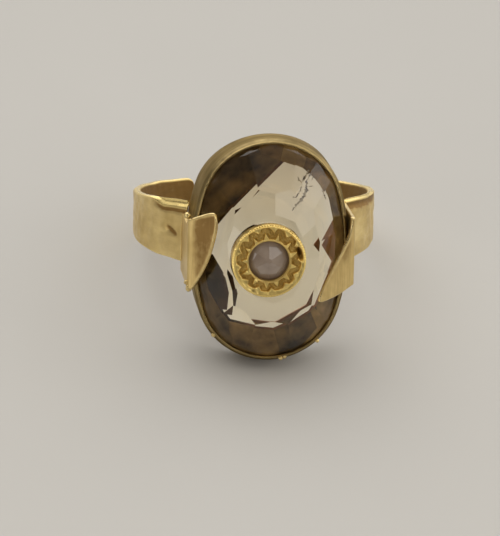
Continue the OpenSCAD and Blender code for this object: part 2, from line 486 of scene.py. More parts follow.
@dataclass(frozen=True)
class Levels:
    """Distances of the ring's levels from the finger hole's axis.

    Attributes:
        bore: Radius of the finger hole.
        band: Radius of the band's outside.
        girdle: Level of the large stone's girdle.
        rim: Level of the bezel's rim.
        fold: Level at which the claws are folded.
        table: Level of the large stone's table.
        inlay: Level of the collet's foot.
    """

    bore: float = 9.75
    band: float = 10.4
    girdle: float = 11.75
    rim: float = 12.05
    fold: float = 12.45
    table: float = 14.65
    inlay: float = 14.15


@dataclass(frozen=True)
class Graph:
    """A tree of shader nodes, with short ways to add the nodes that the looks need.

    Attributes:
        tree: The tree.
    """

    tree: NodeTree

    def fill(self, node: Node, values: dict[str | int, object]) -> None:
        """Gives a node its inputs.

        Args:
            node: The node.
            values: A socket, a number or a colour for each input, by the input's name or number.
        """
        for label, value in values.items():
            if isinstance(value, Socket):
                self.tree.links.new(value, node.inputs[label])
            elif isinstance(value, tuple):
                node.inputs[label].default_value = (*value, 1.0)
            else:
                node.inputs[label].default_value = value

    def add(self, kind: str, **values: object) -> Node:
        """Adds a node.

        Args:
            kind: Blender's name of the kind of node.
            values: Its inputs by name.

        Returns:
            The node.
        """
        node = self.tree.nodes.new(kind)
        self.fill(node, values)
        return node

    def place(self) -> Socket:
        """Coordinates of the piece itself."""
        return self.add("ShaderNodeTexCoord").outputs["Object"]

    def split(self, vector: Socket) -> Outputs:
        """The X, Y and Z of a vector."""
        return self.add("ShaderNodeSeparateXYZ", Vector=vector).outputs

    def attribute(self, mask: Mask) -> Socket:
        """A value that the mesh carries.

        Args:
            mask: Which of them.

        Returns:
            The value.
        """
        node = self.add("ShaderNodeAttribute")
        node.attribute_name = mask.value
        return node.outputs["Fac"]

    def math(self, operation: str, *values: object, clamp: bool = False) -> Socket:
        """Adds a Math node.

        Args:
            operation: Blender's name of the operation.
            values: Numbers or sockets for its inputs.
            clamp: Whether the result is kept from 0 to 1.

        Returns:
            The node's result.
        """
        node = self.add("ShaderNodeMath")
        node.operation = operation
        node.use_clamp = clamp
        self.fill(node, dict(enumerate(values)))
        return node.outputs[0]

    def contrast(self, value: Socket, gain: float, middle: float, clamp: bool = True) -> Socket:
        """Spreads a value from 0 to 1: the gain times what it is above a half, plus a new middle.

        Args:
            value: The value.
            gain: How much it is spread.
            middle: What a half becomes.
            clamp: Whether the result is kept from 0 to 1.

        Returns:
            The spread value.
        """
        above = self.math("SUBTRACT", value, 0.5)
        return self.math("MULTIPLY_ADD", above, gain, middle, clamp=clamp)

    def noise(self, vector: Socket, scale: object, detail: float) -> Socket:
        """A noise pattern from 0 to 1, its scale a number or a socket."""
        return self.add("ShaderNodeTexNoise", Vector=vector, Scale=scale, Detail=detail).outputs["Fac"]

    def mix(self, share: Socket, first: object, second: object) -> Socket:
        """Mixes two colours.

        Args:
            share: Share of the second colour.
            first: First colour, or a socket that has it.
            second: Second colour, or a socket that has it.

        Returns:
            The mixed colour.
        """
        node = self.add("ShaderNodeMix")
        node.data_type = "RGBA"
        self.fill(node, {0: share, 6: first, 7: second})
        return node.outputs[2]

    def effect(self, group: NodeTree, vector: Socket, **values: object) -> Outputs:
        """Places a shared effect.

        Args:
            group: The effect.
            vector: Coordinates that it reads.
            values: Numbers or sockets for its other inputs.

        Returns:
            What the effect gives.
        """
        node = self.add("ShaderNodeGroup")
        node.node_tree = group
        self.fill(node, {"Vector": vector, **values})
        return node.outputs


def shared(build: Callable[[], NodeTree]) -> Callable[[], NodeTree]:
    """Lets a function that builds a node group of its own name build it only once.

    Args:
        build: The function.

    Returns:
        A function that gives the group that is there, or else builds it.
    """

    @wraps(build)
    def once() -> NodeTree:
        """The group."""
        return bpy.data.node_groups.get(build.__name__) or build()

    return once


class Effects:
    """Shader node groups that several finishes share, each built once."""

    @staticmethod
    def start(name: str, outputs: tuple[str, ...], **values: float) -> tuple[Graph, Outputs, Node]:
        """Opens a new group that reads a vector.

        Args:
            name: Name of the group.
            outputs: Names of its outputs, which are all values.
            values: Its other inputs by name, with their defaults.

        Returns:
            The group's nodes, what the group is given, and the node that takes its results.
        """
        tree = bpy.data.node_groups.new(name, "ShaderNodeTree")
        tree.interface.new_socket("Vector", in_out="INPUT", socket_type="NodeSocketVector")
        for label, value in values.items():
            socket = tree.interface.new_socket(label, in_out="INPUT", socket_type="NodeSocketFloat")
            socket.default_value = value
        for label in outputs:
            tree.interface.new_socket(label, in_out="OUTPUT", socket_type="NodeSocketFloat")
        given = tree.nodes.new("NodeGroupInput").outputs
        return Graph(tree), given, tree.nodes.new("NodeGroupOutput")

    @staticmethod
    @shared
    def brushed_grain() -> NodeTree:
        """Fine scratches along the chart's first axis: fine and coarse noise that is drawn out that way.

        Returns:
            The group, with the scratches' height and their contrast as streaks.
        """
        coarser, fine_share, coarse_share = 0.3, 0.6, 0.4
        graph, given, result = Effects.start("brushed_grain", ("Height", "Streaks"), Fine=9.0, Drawn=0.05)
        split = graph.split(given["Vector"])
        drawn = graph.math("MULTIPLY", split["X"], given["Drawn"])
        lines = graph.add("ShaderNodeCombineXYZ", X=drawn, Y=split["Y"], Z=split["Z"]).outputs[0]
        fine = graph.noise(lines, given["Fine"], 3.0)
        coarse = graph.noise(lines, graph.math("MULTIPLY", given["Fine"], coarser), 2.0)
        coarse = graph.math("MULTIPLY", coarse, coarse_share)
        height = graph.math("MULTIPLY_ADD", fine, fine_share, coarse)
        graph.fill(result, {"Height": height, "Streaks": graph.contrast(height, 4.0, 0.5)})
        return graph.tree

    @staticmethod
    @shared
    def worn_skin() -> NodeTree:
        """Cloudy handling marks and small pits of soft metal: broad noise, and noise that is cut off low.

        Returns:
            The group, with the skin's height and the contrast of its clouds.
        """
        pit_from, pit_depth, cloud_height = 0.45, 3.0, 0.6
        graph, given, result = Effects.start("worn_skin", ("Height", "Clouds"), Clouds=420.0, Pits=2600.0)
        clouds = graph.noise(given["Vector"], given["Clouds"], 3.0)
        pits = graph.noise(given["Vector"], given["Pits"], 2.0)
        pits = graph.math("MINIMUM", graph.math("SUBTRACT", pits, pit_from), 0.0)
        pits = graph.math("MULTIPLY", pits, pit_depth)
        height = graph.math("MULTIPLY_ADD", clouds, cloud_height, pits)
        graph.fill(result, {"Height": height, "Clouds": graph.contrast(clouds, 2.6, 0.5)})
        return graph.tree

    @staticmethod
    @shared
    def broken_mask() -> NodeTree:
        """Breaks up the mask of rubbed edges or of painted shade: the mask times a contrast of noise.

        Returns:
            The group, with the broken mask.
        """
        graph, given, result = Effects.start("broken_mask", ("Mask",), Mask=0.0, Scale=1500.0)
        grain = graph.noise(given["Vector"], given["Scale"], 3.0)
        grain = graph.contrast(grain, 1.4, 0.95, clamp=False)
        graph.fill(result, {"Mask": graph.math("MULTIPLY", given["Mask"], grain, clamp=True)})
        return graph.tree


def new_material(name: str) -> tuple[Material, Graph, Node]:
    """Starts a node material.

    Args:
        name: Name of the material.

    Returns:
        The material, its nodes and its Principled shader.
    """
    material = bpy.data.materials.new(name)
    material.use_nodes = True
    return material, Graph(material.node_tree), material.node_tree.nodes["Principled BSDF"]


def dress(piece: Object, material: Material) -> None:
    """Gives a piece one material in place of what it has."""
    piece.data.materials.clear()
    piece.data.materials.append(material)


def facet(piece: Object) -> None:
    """Shades every face of a cut stone flat."""
    piece.data.polygons.foreach_set("use_smooth", np.zeros(len(piece.data.polygons), bool))


@dataclass(frozen=True)
class GoldFinish:
    """Finish of the yellow gold: cloudy handling marks, brushing, polished edges whose colour is partly a
    painted highlight, and painted shade.

    Attributes:
        name: Name of the material.
        base: Colour of the metal.
        cloud: Colour where handling has dulled it.
        deep: Colour of the painted shade in hollows, creases, inner faces and shaded flaps.
        crest: Colour of the rubbed edges, partly a painted highlight.
        rubbed: How much of that colour the edges show.
        roughness: Roughness of the plain surface.
        uneven: How much the clouds and the brushed lines are rougher.
        polish: How much the edges are smoother.
        matte: How much rougher the parts with painted shade are.
        streaks: How much of the dulled colour the brushed lines show.
        grain: Height of the brushed grain in micrometres.
        skin: Height of the worn skin in micrometres.
        fine: Number of brushed lines to a millimetre.
        drawn: How much the brushed lines are drawn out.
        charted: Whether the brushing follows the piece's own flat chart.
        glance: Tint of what it reflects at a flat angle.
    """

    name: str
    base: Color = (0.78, 0.61, 0.27)
    cloud: Color = (0.68, 0.51, 0.21)
    deep: Color = (0.46, 0.28, 0.09)
    crest: Color = (0.88, 0.72, 0.37)
    rubbed: float = 0.5
    roughness: float = 0.34
    uneven: float = 0.10
    polish: float = 0.14
    matte: float = 0.14
    streaks: float = 0.25
    grain: float = 6.0
    skin: float = 10.0
    fine: float = 9.0
    drawn: float = 0.05
    charted: bool = True
    glance: Color = WHITE

    def material(self) -> Material:
        """Builds the material.

        Returns:
            The new material.
        """
        material, graph, shader = new_material(self.name)
        place = graph.place()
        lines, fine = place, self.fine / MM
        if self.charted:
            chart = graph.add("ShaderNodeUVMap")
            chart.uv_map = "chart"
            lines, fine = chart.outputs["UV"], self.fine
        edge, recess = (
            graph.effect(Effects.broken_mask(), place, Mask=graph.attribute(mask))["Mask"]
            for mask in (Mask.EDGE, Mask.RECESS)
        )
        grain = graph.effect(Effects.brushed_grain(), lines, Fine=fine, Drawn=self.drawn)
        skin = graph.effect(Effects.worn_skin(), place)
        color = graph.mix(skin["Clouds"], self.base, self.cloud)
        color = graph.mix(graph.math("MULTIPLY", grain["Streaks"], self.streaks), color, self.cloud)
        # Painted shade where the shade mask is high.
        color = graph.mix(recess, color, self.deep)
        # Crest colour on the edges, partly a painted highlight.
        color = graph.mix(graph.math("MULTIPLY", edge, self.rubbed), color, self.crest)
        rough = graph.math("MULTIPLY_ADD", skin["Clouds"], self.uneven, self.roughness - self.uneven / 2.0)
        rough = graph.math("MULTIPLY_ADD", grain["Streaks"], self.uneven, rough)
        rough = graph.math("MULTIPLY_ADD", recess, self.matte, rough)
        rough = graph.math("SUBTRACT", rough, graph.math("MULTIPLY", edge, self.polish), clamp=True)
        height = graph.math("MULTIPLY", grain["Height"], self.grain)
        height = graph.math("MULTIPLY_ADD", skin["Height"], self.skin, height)
        bump = graph.add("ShaderNodeBump", Strength=1.0, Distance=MICROMETRE, Height=height)
        graph.fill(shader, {
            "Base Color": color,
            "Metallic": 1.0,
            "Specular Tint": self.glance,
            "Roughness": rough,
            "Normal": bump.outputs["Normal"],
        })
        return material


@dataclass(frozen=True)
class QuartzFinish:
    """Finish of the clear olive-brown centre stone, whose tint deepens with the depth of the stone, with
    painted shade on its upper end.

    Attributes:
        tint: Colour that is left after light has passed the stone.
        density: How quickly the tint comes, to a metre.
        ior: Refraction of quartz.
        wear: Roughness of rubbed spots on the facets.
        spots: Scale of the rubbed spots.
        spots_from: Share of the clouds from which a spot is rubbed.
        smoke: Colour of the painted shade on the stone's upper end.
        clear_to: Height in metres up to which there is no painted shade.
        zone: Height in metres over which the painted shade comes in full.
    """

    tint: Color = (0.98, 0.80, 0.26)
    density: float = 120.0
    ior: float = 1.545
    wear: float = 0.05
    spots: float = 300.0
    spots_from: float = 0.62
    smoke: Color = (0.80, 0.72, 0.61)
    clear_to: float = 0.0075
    zone: float = 0.004

    def material(self) -> Material:
        """Builds the material.

        Returns:
            The new material.
        """
        material, graph, shader = new_material("smoky_quartz")
        place = graph.place()
        height = graph.split(place)["Z"]
        # Painted shade that darkens the stone's upper end.
        shaded_top = graph.math("MULTIPLY_ADD", height, 1.0 / self.zone, -self.clear_to / self.zone, clamp=True)
        clouds = graph.effect(Effects.worn_skin(), place, Clouds=self.spots)["Clouds"]
        rubbed = graph.math("SUBTRACT", clouds, self.spots_from, clamp=True)
        graph.fill(shader, {
            "Base Color": graph.mix(shaded_top, WHITE, self.smoke),
            "IOR": self.ior,
            "Transmission Weight": 1.0,
            "Roughness": graph.math("MULTIPLY", rubbed, self.wear),
        })
        absorption = graph.add("ShaderNodeVolumeAbsorption", Color=self.tint, Density=self.density)
        graph.fill(graph.tree.nodes["Material Output"], {"Volume": absorption.outputs[0]})
        return material


@dataclass(frozen=True)
class CloudyGemFinish:
    """Finish of the small cloudy rose-cut stone.

    Attributes:
        base: Main colour.
        veil: Colour of the paler veils in it.
        veils: Scale of the veils.
        ior: Refraction of the stone.
        roughness: Roughness of the polished facets.
        uneven: How much the roughness varies.
        spots: Scale of the spots in which it varies.
    """

    base: Color = (0.28, 0.21, 0.16)
    veil: Color = (0.44, 0.36, 0.29)
    veils: float = 700.0
    ior: float = 1.7
    roughness: float = 0.16
    uneven: float = 0.12
    spots: float = 900.0

    def material(self) -> Material:
        """Builds the material.

        Returns:
            The new material.
        """
        material, graph, shader = new_material("cloudy_gem")
        place = graph.place()
        veils = graph.contrast(graph.noise(place, self.veils, 4.0), 2.0, 0.35)
        clouds = graph.effect(Effects.worn_skin(), place, Clouds=self.spots)["Clouds"]
        smoothest = self.roughness - self.uneven / 2.0
        graph.fill(shader, {
            "Base Color": graph.mix(veils, self.base, self.veil),
            "IOR": self.ior,
            "Roughness": graph.math("MULTIPLY_ADD", clouds, self.uneven, smoothest),
        })
        return material


@dataclass(frozen=True)
class CementFinish:
    """Finish of the painted shade on the stone's slanted back facets: an opaque brown layer that stands in
    for the shade seen through the stone.

    Attributes:
        name: Name of the material.
        base: Main colour.
        stain: Colour of its darker patches.
        patches: Scale of the patches.
        roughness: Roughness of the layer.
    """

    name: str
    base: Color
    stain: Color
    patches: float = 480.0
    roughness: float = 0.6

    def material(self) -> Material:
        """Builds the material.

        Returns:
            The new material.
        """
        material, graph, shader = new_material(self.name)
        clouds = graph.effect(Effects.worn_skin(), graph.place(), Clouds=self.patches)["Clouds"]
        graph.fill(shader, {
            "Base Color": graph.mix(clouds, self.base, self.stain), "Roughness": self.roughness,
        })
        return material


@dataclass(frozen=True)
class SeatFinish:
    """Finish of the seat frame: painted shade, nearly black on the left and red-brown on the right.

    Attributes:
        left: Colour on the left.
        right: Colour on the right.
        spread: Distance in metres over which one turns into the other.
        start: Share of the right's colour in the middle.
        uneven: How much that share varies.
        roughness: Roughness of the frame.
    """

    left: Color = (0.05, 0.036, 0.028)
    right: Color = (0.46, 0.24, 0.15)
    spread: float = 0.007
    start: float = 0.3
    uneven: float = 0.4
    roughness: float = 0.45

    def material(self) -> Material:
        """Builds the material.

        Returns:
            The new material.
        """
        material, graph, shader = new_material("seat_painted_shade")
        place = graph.place()
        clouds = graph.effect(Effects.worn_skin(), place)["Clouds"]
        # Painted shade: nearly black on the left, turning red-brown to the right.
        share = graph.math("MULTIPLY_ADD", graph.split(place)["X"], 1.0 / self.spread, self.start)
        share = graph.math("MULTIPLY_ADD", clouds, self.uneven, share, clamp=True)
        graph.fill(shader, {
            "Base Color": graph.mix(share, self.left, self.right),
            "Metallic": 1.0,
            "Roughness": self.roughness,
        })
        return material


@dataclass(frozen=True)
class FeatherFinish:
    """Finish of the feather, a healed crack inside the stone that shows as ragged dark and pale films.

    Attributes:
        dark: Colour of the dark parts.
        pale: Colour of the pale parts.
        grain: Scale of the parts.
        roughness: Roughness of the films.
    """

    dark: Color = (0.10, 0.07, 0.035)
    pale: Color = (0.60, 0.52, 0.36)
    grain: float = 2200.0
    roughness: float = 0.35

    def material(self) -> Material:
        """Builds the material.

        Returns:
            The new material.
        """
        material, graph, shader = new_material("feather_film")
        share = graph.contrast(graph.noise(graph.place(), self.grain, 4.0), 4.0, 0.35)
        graph.fill(shader, {
            "Base Color": graph.mix(share, self.dark, self.pale), "Roughness": self.roughness,
        })
        return material


@dataclass
class Arm:
    """One of the band's two thin arms, from a claw round the finger to its free end.

    Attributes:
        frame: Turns the ring frame to rest.
        levels: Radii of the finger hole and the band's outside.
        side: Which of the two arms it is.
        seed: Number that picks its unevenness.
        filed: Places round the band between which the filed upper edge comes in.
        crease_w: Half the width of the crease under the filed edge.
        crease_d: Depth of that crease.
        nick_d: Depth of the nick on the shoulder.
        opening: Distance of the claw's outer face from the middle.
        overlap: How far the upper part runs on over the claw's leg.
        lapping: Shares of the half width between which that part comes in.
        gap: Half the space between the arms' free ends.
        top: Height of the upper edge above the head's middle, at the claw.
        low: Depth of the lower edge below the head's middle, at the claw.
        end_w: Width at the free end.
        edge: Radius of the rounded edges.
        corner: Radius of the free end's corners.
        dent: Depth of the hammer marks.
        marks: Number of hammer marks.
        mark_r: Mean radius of a hammer mark.
        marks_low: Lowest place of a mark round the band and along the finger.
        marks_high: Highest place of a mark.
        pitting: Depth of the finer unevenness.
        fade: Shares of the arm over which the marks come in at the claw and go out at the free end.
        waver: How much the width varies.
        bevel: Width of the filed upper edge at the claw.
        bevel_end: Width of the filed upper edge where it ends.
        bevel_d: Depth of the filed upper edge.
        least_t: Least thickness left by the file over the rounded edge.
        nick_at: Place of the nick round the band and along the finger.
        nick_slope: Slope of the nick.
        nick_w: Half the width of the nick.
        nick_l: Half the length of the nick.
        girth: Length of the way round the section, for the chart.
        stations: Number of sections.
        steps: Points on a section's wide faces, edge faces and corner arcs.
    """

    frame: RestFrame
    levels: Levels
    side: Side
    seed: int
    filed: Pair
    crease_w: float
    crease_d: float
    nick_d: float = 0.0
    opening: float = 6.94
    overlap: float = 0.0
    lapping: Pair = (0.45, 0.6)
    gap: float = 4.3
    top: float = 3.35
    low: float = 2.0
    end_w: float = 2.6
    edge: float = 0.22
    corner: float = 0.7
    dent: float = 0.065
    marks: int = 150
    mark_r: float = 1.0
    marks_low: Pair = (4.0, -2.4)
    marks_high: Pair = (28.0, 3.0)
    pitting: float = 0.02
    fade: Pair = (0.03, 0.06)
    waver: float = 0.07
    bevel: float = 0.45
    bevel_end: float = 0.06
    bevel_d: float = 0.50
    least_t: float = 0.03
    nick_at: Pair = (8.8, 0.55)
    nick_slope: float = 0.42
    nick_w: float = 0.22
    nick_l: float = 0.6
    girth: float = 11.0
    stations: int = 300
    steps: tuple[int, int, int] = (40, 4, 7)

    def section(self) -> tuple[Array, Array]:
        """A rounded box as places on its core box from -1 to 1 and the way each point faces.

        Returns:
            Core places and facings, both with the radial part first and the part along the finger second.
        """
        wide_steps, edge_steps, corner_steps = self.steps
        places, facings = [], []
        for quarter, steps in enumerate((wide_steps, edge_steps) * 2):
            turn = quarter * QUARTER_TURN
            way = np.array([math.cos(turn), math.sin(turn)])
            along = np.array([-way[1], way[0]])
            run = np.linspace(-1.0, 1.0, steps + 2)[1:-1, None]
            places.append(way + along * run)
            facings.append(np.broadcast_to(way, (steps, 2)))
            arc = turn + np.linspace(0.0, QUARTER_TURN, corner_steps)[:, None]
            places.append(np.broadcast_to(way + along, (corner_steps, 2)))
            facings.append(np.concatenate([np.cos(arc), np.sin(arc)], axis=1))
        return np.concatenate(places), np.concatenate(facings)

    def reach(self, y: Array, run: Array, to_end: Array, upper: Array) -> Array:
        """Distance of the upper or lower edge from the head's middle.

        It falls evenly with y from the claw to the free end, wavers, and is rounded off at the end's corners.

        Args:
            y: Place behind the finger hole's axis.
            run: Place round the band.
            to_end: Distance from the free end.
            upper: Whether a point belongs to the upper edge.

        Returns:
            The distance at each point.
        """
        wave_l, other_edge = 9.0, 20.0
        end_y = math.sqrt(self.levels.band**2 - self.gap**2)
        fall = (end_y - y) / (end_y + math.sqrt(self.levels.band**2 - self.opening**2))
        half = self.end_w / 2.0
        reach = half + np.where(upper, self.top - half, self.low - half) * fall
        wave = ripple(self.seed, wave_l, run, np.where(upper, other_edge, 0.0))
        reach = reach - self.waver * (0.5 + 0.5 * wave)
        return reach - self.corner * (1.0 - round_over(to_end, self.corner))

    def filing(self, run: Array, below: Array) -> tuple[Array, Array]:
        """The upper edge's filed bevel, which widens towards the claw, and the crease along its foot.

        Args:
            run: Place round the band.
            below: Distance below the upper edge.

        Returns:
            Depth of the bevel, falling evenly across its width, and depth of the crease, a narrow bell.
        """
        near = smooth_step(*self.filed, run)
        width = self.bevel_end + self.bevel * near
        bevel = self.bevel_d * near * np.clip(1.0 - below / width, 0.0, 1.0)
        crease = self.crease_d * near * bell(below - width - self.crease_w, self.crease_w)
        return bevel, crease

    def nick(self, run: Array, z: Array) -> Array:
        """A short slanting nick on the shoulder: a narrow bell across a line, cut off at its ends.

        Args:
            run: Place round the band.
            z: Place along the finger.

        Returns:
            Depth of the nick at each point.
        """
        along = run - self.nick_at[0]
        across = z - self.nick_at[1] - self.nick_slope * along
        return self.nick_d * bell(across, self.nick_w) * bell(along, self.nick_l, 4)

    def surface(self) -> Surface:
        """The section carried round the finger hole's axis, from the claw's face to the rounded free end.

        Returns:
            The arm, with hammer marks, filing and nick sunk along its radius.
        """
        lv = self.levels
        core, facing = self.section()
        radial, along = facing.T
        half_t = (lv.band - lv.bore) / 2.0
        core_r = lv.bore + half_t + core[:, 0] * (half_t - self.edge)
        share = np.sin(np.linspace(0.0, QUARTER_TURN, self.stations))[:, None]
        opening = self.opening - self.overlap * smooth_step(*self.lapping, core[:, 1])
        first = np.arcsin(opening / (core_r + radial * self.edge))
        theta = first + share * (math.pi - np.arcsin(self.gap / core_r) - first)
        run = theta * lv.band
        to_end = np.clip(np.abs(np.sin(theta)) * core_r - self.gap, 0.0, None)
        to_end = np.where(theta > QUARTER_TURN, to_end, FAR)
        inset = self.edge * (1.0 - round_over(to_end, self.edge))
        reach = self.reach(-core_r * np.cos(theta), run, to_end, core[:, 1] > 0.0)
        z = core[:, 1] * (reach - self.edge) + along * (self.edge - inset)

        pit_seed, pit_l, mark_seed = 5, 3.0, self.seed + 8
        outside = smooth_step(-0.2, 0.8, radial)
        marks = hollows(mark_seed, run, z, self.marks_low, self.marks_high, self.marks, self.mark_r)
        pits = self.pitting * (1.0 + ripple(pit_seed, pit_l, run, z)) * (1.0 - np.abs(along))
        depth = self.dent * outside * (1.0 - marks) + pits
        depth = depth * smooth_step(0.0, self.fade[0], share) * smooth_step(0.0, self.fade[1], 1.0 - share)
        bevel, crease = self.filing(run, reach - z)
        nick = self.nick(run, z)
        depth = depth + (crease + nick) * outside
        radius = core_r + radial * (self.edge - inset - depth)
        least = lv.bore + self.edge + self.least_t * (1.0 + core[:, 0])
        filed = np.minimum(radius, np.maximum(radius - bevel, least))
        radius = np.where(radial > -0.01, filed, radius)

        # The edge mask puts the crest colour on the corners, the upper face and the filed bevel, partly a
        # painted highlight there. The painted-shade mask darkens the hammer marks, the crease, the nick and
        # the whole inner face.
        corner = 1.0 - np.abs(np.abs(radial) - np.abs(along))
        upper_edge = smooth_step(0.6, 0.95, along)
        bevelled = 1.6 * smooth_step(0.0, 0.1, bevel) * outside
        inner_shade = 1.3 * smooth_step(0.2, 0.9, -radial)
        sunk = (0.3 * marks + crease / 0.12) * outside
        masks = {
            Mask.EDGE: np.maximum(np.maximum(corner, upper_edge), bevelled),
            Mask.RECESS: np.maximum(np.maximum(sunk, inner_shade), nick / 0.10 * outside),
        }
        skin = self.frame.from_ring(self.side.value * radius * np.sin(theta), -radius * np.cos(theta), z)
        chart = (run.mean(axis=1), np.linspace(0.0, self.girth, len(core) + 1))
        return capped_tube(skin, skin[[0, -1]].mean(axis=1), masks, chart)

    def build(self, material: Material) -> None:
        """Makes the arm, which stands for its solid.

        Args:
            material: Finish of the arm.
        """
        node = f"{self.side.name.lower()}_arm"
        piece = self.surface().to_object(f"{node}_strip")
        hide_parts(node)
        dress(piece, material)


@dataclass
class Claw:
    """A folded gold plate: a leg along the bezel, a bend, and a flap that laps over the stone.

    Attributes:
        frame: Turns the head frame to rest.
        levels: Levels of the finger hole and the fold.
        side: Which of the two claws it is.
        seed: Number that picks its unevenness.
        reach: How far its flap reaches in from the fold.
        bulge: Fullness of the flap's free edge.
        dull: Painted shade on the flap: how much it has at least, how much is added along it, and between
            which places.
        inner: Distance of the leg's inner face from the middle.
        foot: Level up to which the leg's length is counted.
        thickness: Thickness of the plate.
        width: Width along the fold.
        rise: Angle of the flap in degrees.
        lean: How far the wide corner runs past the end of the fold.
        tip: Width left at the narrow end.
        thin: How much thinner the flap is at its free edge, as a share.
        curl: How much the flap bends down towards its free edge, per millimetre.
        side_r: Width over which the plate is rounded at its sides.
        end_r: The same at the flap's free edge.
        foot_r: The same at the leg's foot.
        corner_cut: How far the wide corner is rounded off.
        fold_cut: How far the fold's end next to that corner is rounded off.
        leg_cut: How far the leg's corner on the same side is cut away.
        waver: Unevenness of the flap.
        steps: Points across the plate and along its leg, its bend and its flap.
    """

    frame: RestFrame
    levels: Levels
    side: Side
    seed: int
    reach: float
    bulge: float
    dull: tuple[float, float, float, float]
    inner: float = 6.54
    foot: float = 5.2
    thickness: float = 0.4
    width: float = 6.0
    rise: float = 37.0
    lean: float = 1.1
    tip: float = 0.2
    thin: float = 0.3
    curl: float = 0.012
    side_r: float = 0.20
    end_r: float = 0.16
    foot_r: float = 0.06
    corner_cut: float = 0.45
    fold_cut: float = 0.0
    leg_cut: float = 0.0
    waver: float = 0.010
    steps: tuple[int, int, int, int] = (72, 40, 14, 46)

    def free_edge(self, t: Array) -> tuple[Array, Array]:
        """The flap's free edge from its narrow end to its wide corner, a cubic curve through four points.

        Args:
            t: Shares of the way along the edge.

        Returns:
            Places along the fold and in from it.
        """
        high = self.width / 2.0
        knots = np.array([
            [high, self.tip],
            [high - 0.30 * self.width, 0.70 * self.bulge * self.reach],
            [high - 0.63 * self.width, (0.65 + 0.35 * self.bulge) * self.reach],
            [-high - self.lean, self.reach],
        ])
        weights = np.stack([(1 - t) ** 3, 3 * t * (1 - t) ** 2, 3 * t * t * (1 - t), t**3], axis=-1)
        return (weights @ knots[:, 0]), (weights @ knots[:, 1])

    def shares(self) -> tuple[Array, Array, Array, Array]:
        """Shares from 0 to 1 of the plate's grid, closer together towards its border.

        Returns:
            Shares across the plate, as a column, and along its leg, its bend and its flap, as rows.
        """
        across_n, leg_n, bend_n, flap_n = self.steps
        across = 0.5 - 0.5 * np.cos(np.linspace(0.0, math.pi, across_n))
        leg = np.linspace(0.0, 1.0, leg_n) ** 1.5
        bend = np.linspace(0.0, 1.0, bend_n)[1:]
        flap = 1.0 - (1.0 - np.linspace(0.0, 1.0, flap_n)[1:]) ** 1.9
        along = [
            (leg, np.ones_like(bend), np.ones_like(flap)),
            (np.zeros_like(leg), bend, np.ones_like(flap)),
            (np.zeros_like(leg), np.zeros_like(bend), flap),
        ]
        return across[:, None], *(np.concatenate(row)[None, :] for row in along)

    def surface(self) -> Surface:
        """Two sheets on each side of the folded middle plane, pressed together along a rounded border.

        Returns:
            The folded plate.
        """
        lv = self.levels
        leg_l = lv.fold - self.foot
        corner_share, fold_share, leg_share = 0.2, 0.25, 0.3
        fold_h, wave_l = 0.7, 3.4
        across, on_leg, on_bend, on_flap = self.shares()
        fold_u = self.width * (across - 0.5)
        edge_u, edge_v = self.free_edge(1.0 - across[:, 0])
        edge_u, edge_v = edge_u[:, None], edge_v[:, None]
        u = fold_u + on_flap * (edge_u - fold_u)
        v = on_flap * edge_v
        pull = self.corner_cut * near_start(across, corner_share) * on_flap**5
        u, v = u + pull, v - 0.9 * pull
        from_fold = np.where(on_flap > 0.0, v, (1.0 - on_leg) * leg_l)
        u = u + self.fold_cut * near_start(across, fold_share) * bell(from_fold, fold_h)
        u = u + self.leg_cut * near_start(across, leg_share) * smooth_step(1.0, 0.8, on_leg)

        to_side = self.width * np.minimum(across, 1.0 - across)
        to_end = np.where(on_flap > 0.0, (1.0 - on_flap) * np.hypot(edge_u - fold_u, edge_v), FAR)
        to_foot = np.where(on_leg < 1.0, on_leg * leg_l, FAR)
        rounding = round_over(to_side, self.side_r) * round_over(to_end, self.end_r)
        rounding = rounding * round_over(to_foot, self.foot_r)
        full = self.thickness / 2.0 * (1.0 - self.thin * smooth_step(0.0, 1.0, v / self.reach))

        slope = math.radians(self.rise)
        angle = on_bend * (QUARTER_TURN - slope)
        waver = self.waver * ripple(self.seed, wave_l, u, v + on_leg) * smooth_step(0.0, 1.0, v)
        sheets = []
        for way in (1.0, -1.0):
            lift = full + way * full * rounding - self.curl * v**2 + waver
            x = self.inner + lift * np.cos(angle) - v * math.cos(slope)
            foot = finger_reach(np.clip(x, 0.0, lv.bore), lv.bore)
            d = lv.fold + lift * np.sin(angle) + v * math.sin(slope)
            d = np.where(on_leg < 1.0, foot + on_leg * (lv.fold - foot), d)
            sheets.append(self.frame.from_head(self.side.value * x, self.side.value * u, d))

        near = np.minimum(np.minimum(to_side, to_end), to_foot)
        # Painted shade over the flap away from its border, more of it towards one end of the fold; the border
        # gets the crest colour.
        least, added, flap_shade_from, flap_shade_to = self.dull
        dull = least + added * smooth_step(flap_shade_from, flap_shade_to, u)
        dull = dull * smooth_step(0.08, 0.35, near) * smooth_step(0.0, 0.9, v)
        masks = {Mask.EDGE: 1.0 - smooth_step(0.03, 0.18, near), Mask.RECESS: dull}
        leg_chart, bend_chart = 6.0, 0.5
        down = on_leg * leg_chart + on_bend * bend_chart + v
        return pillow_plate(*sheets, np.stack([u, down], axis=-1), masks)

    def build(self, material: Material) -> None:
        """Makes the claw, which stands for its plate.

        Args:
            material: Finish of the claw.
        """
        node = f"{self.side.name.lower()}_claw"
        piece = self.surface().to_object(f"{node}_plate")
        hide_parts(node)
        dress(piece, material)


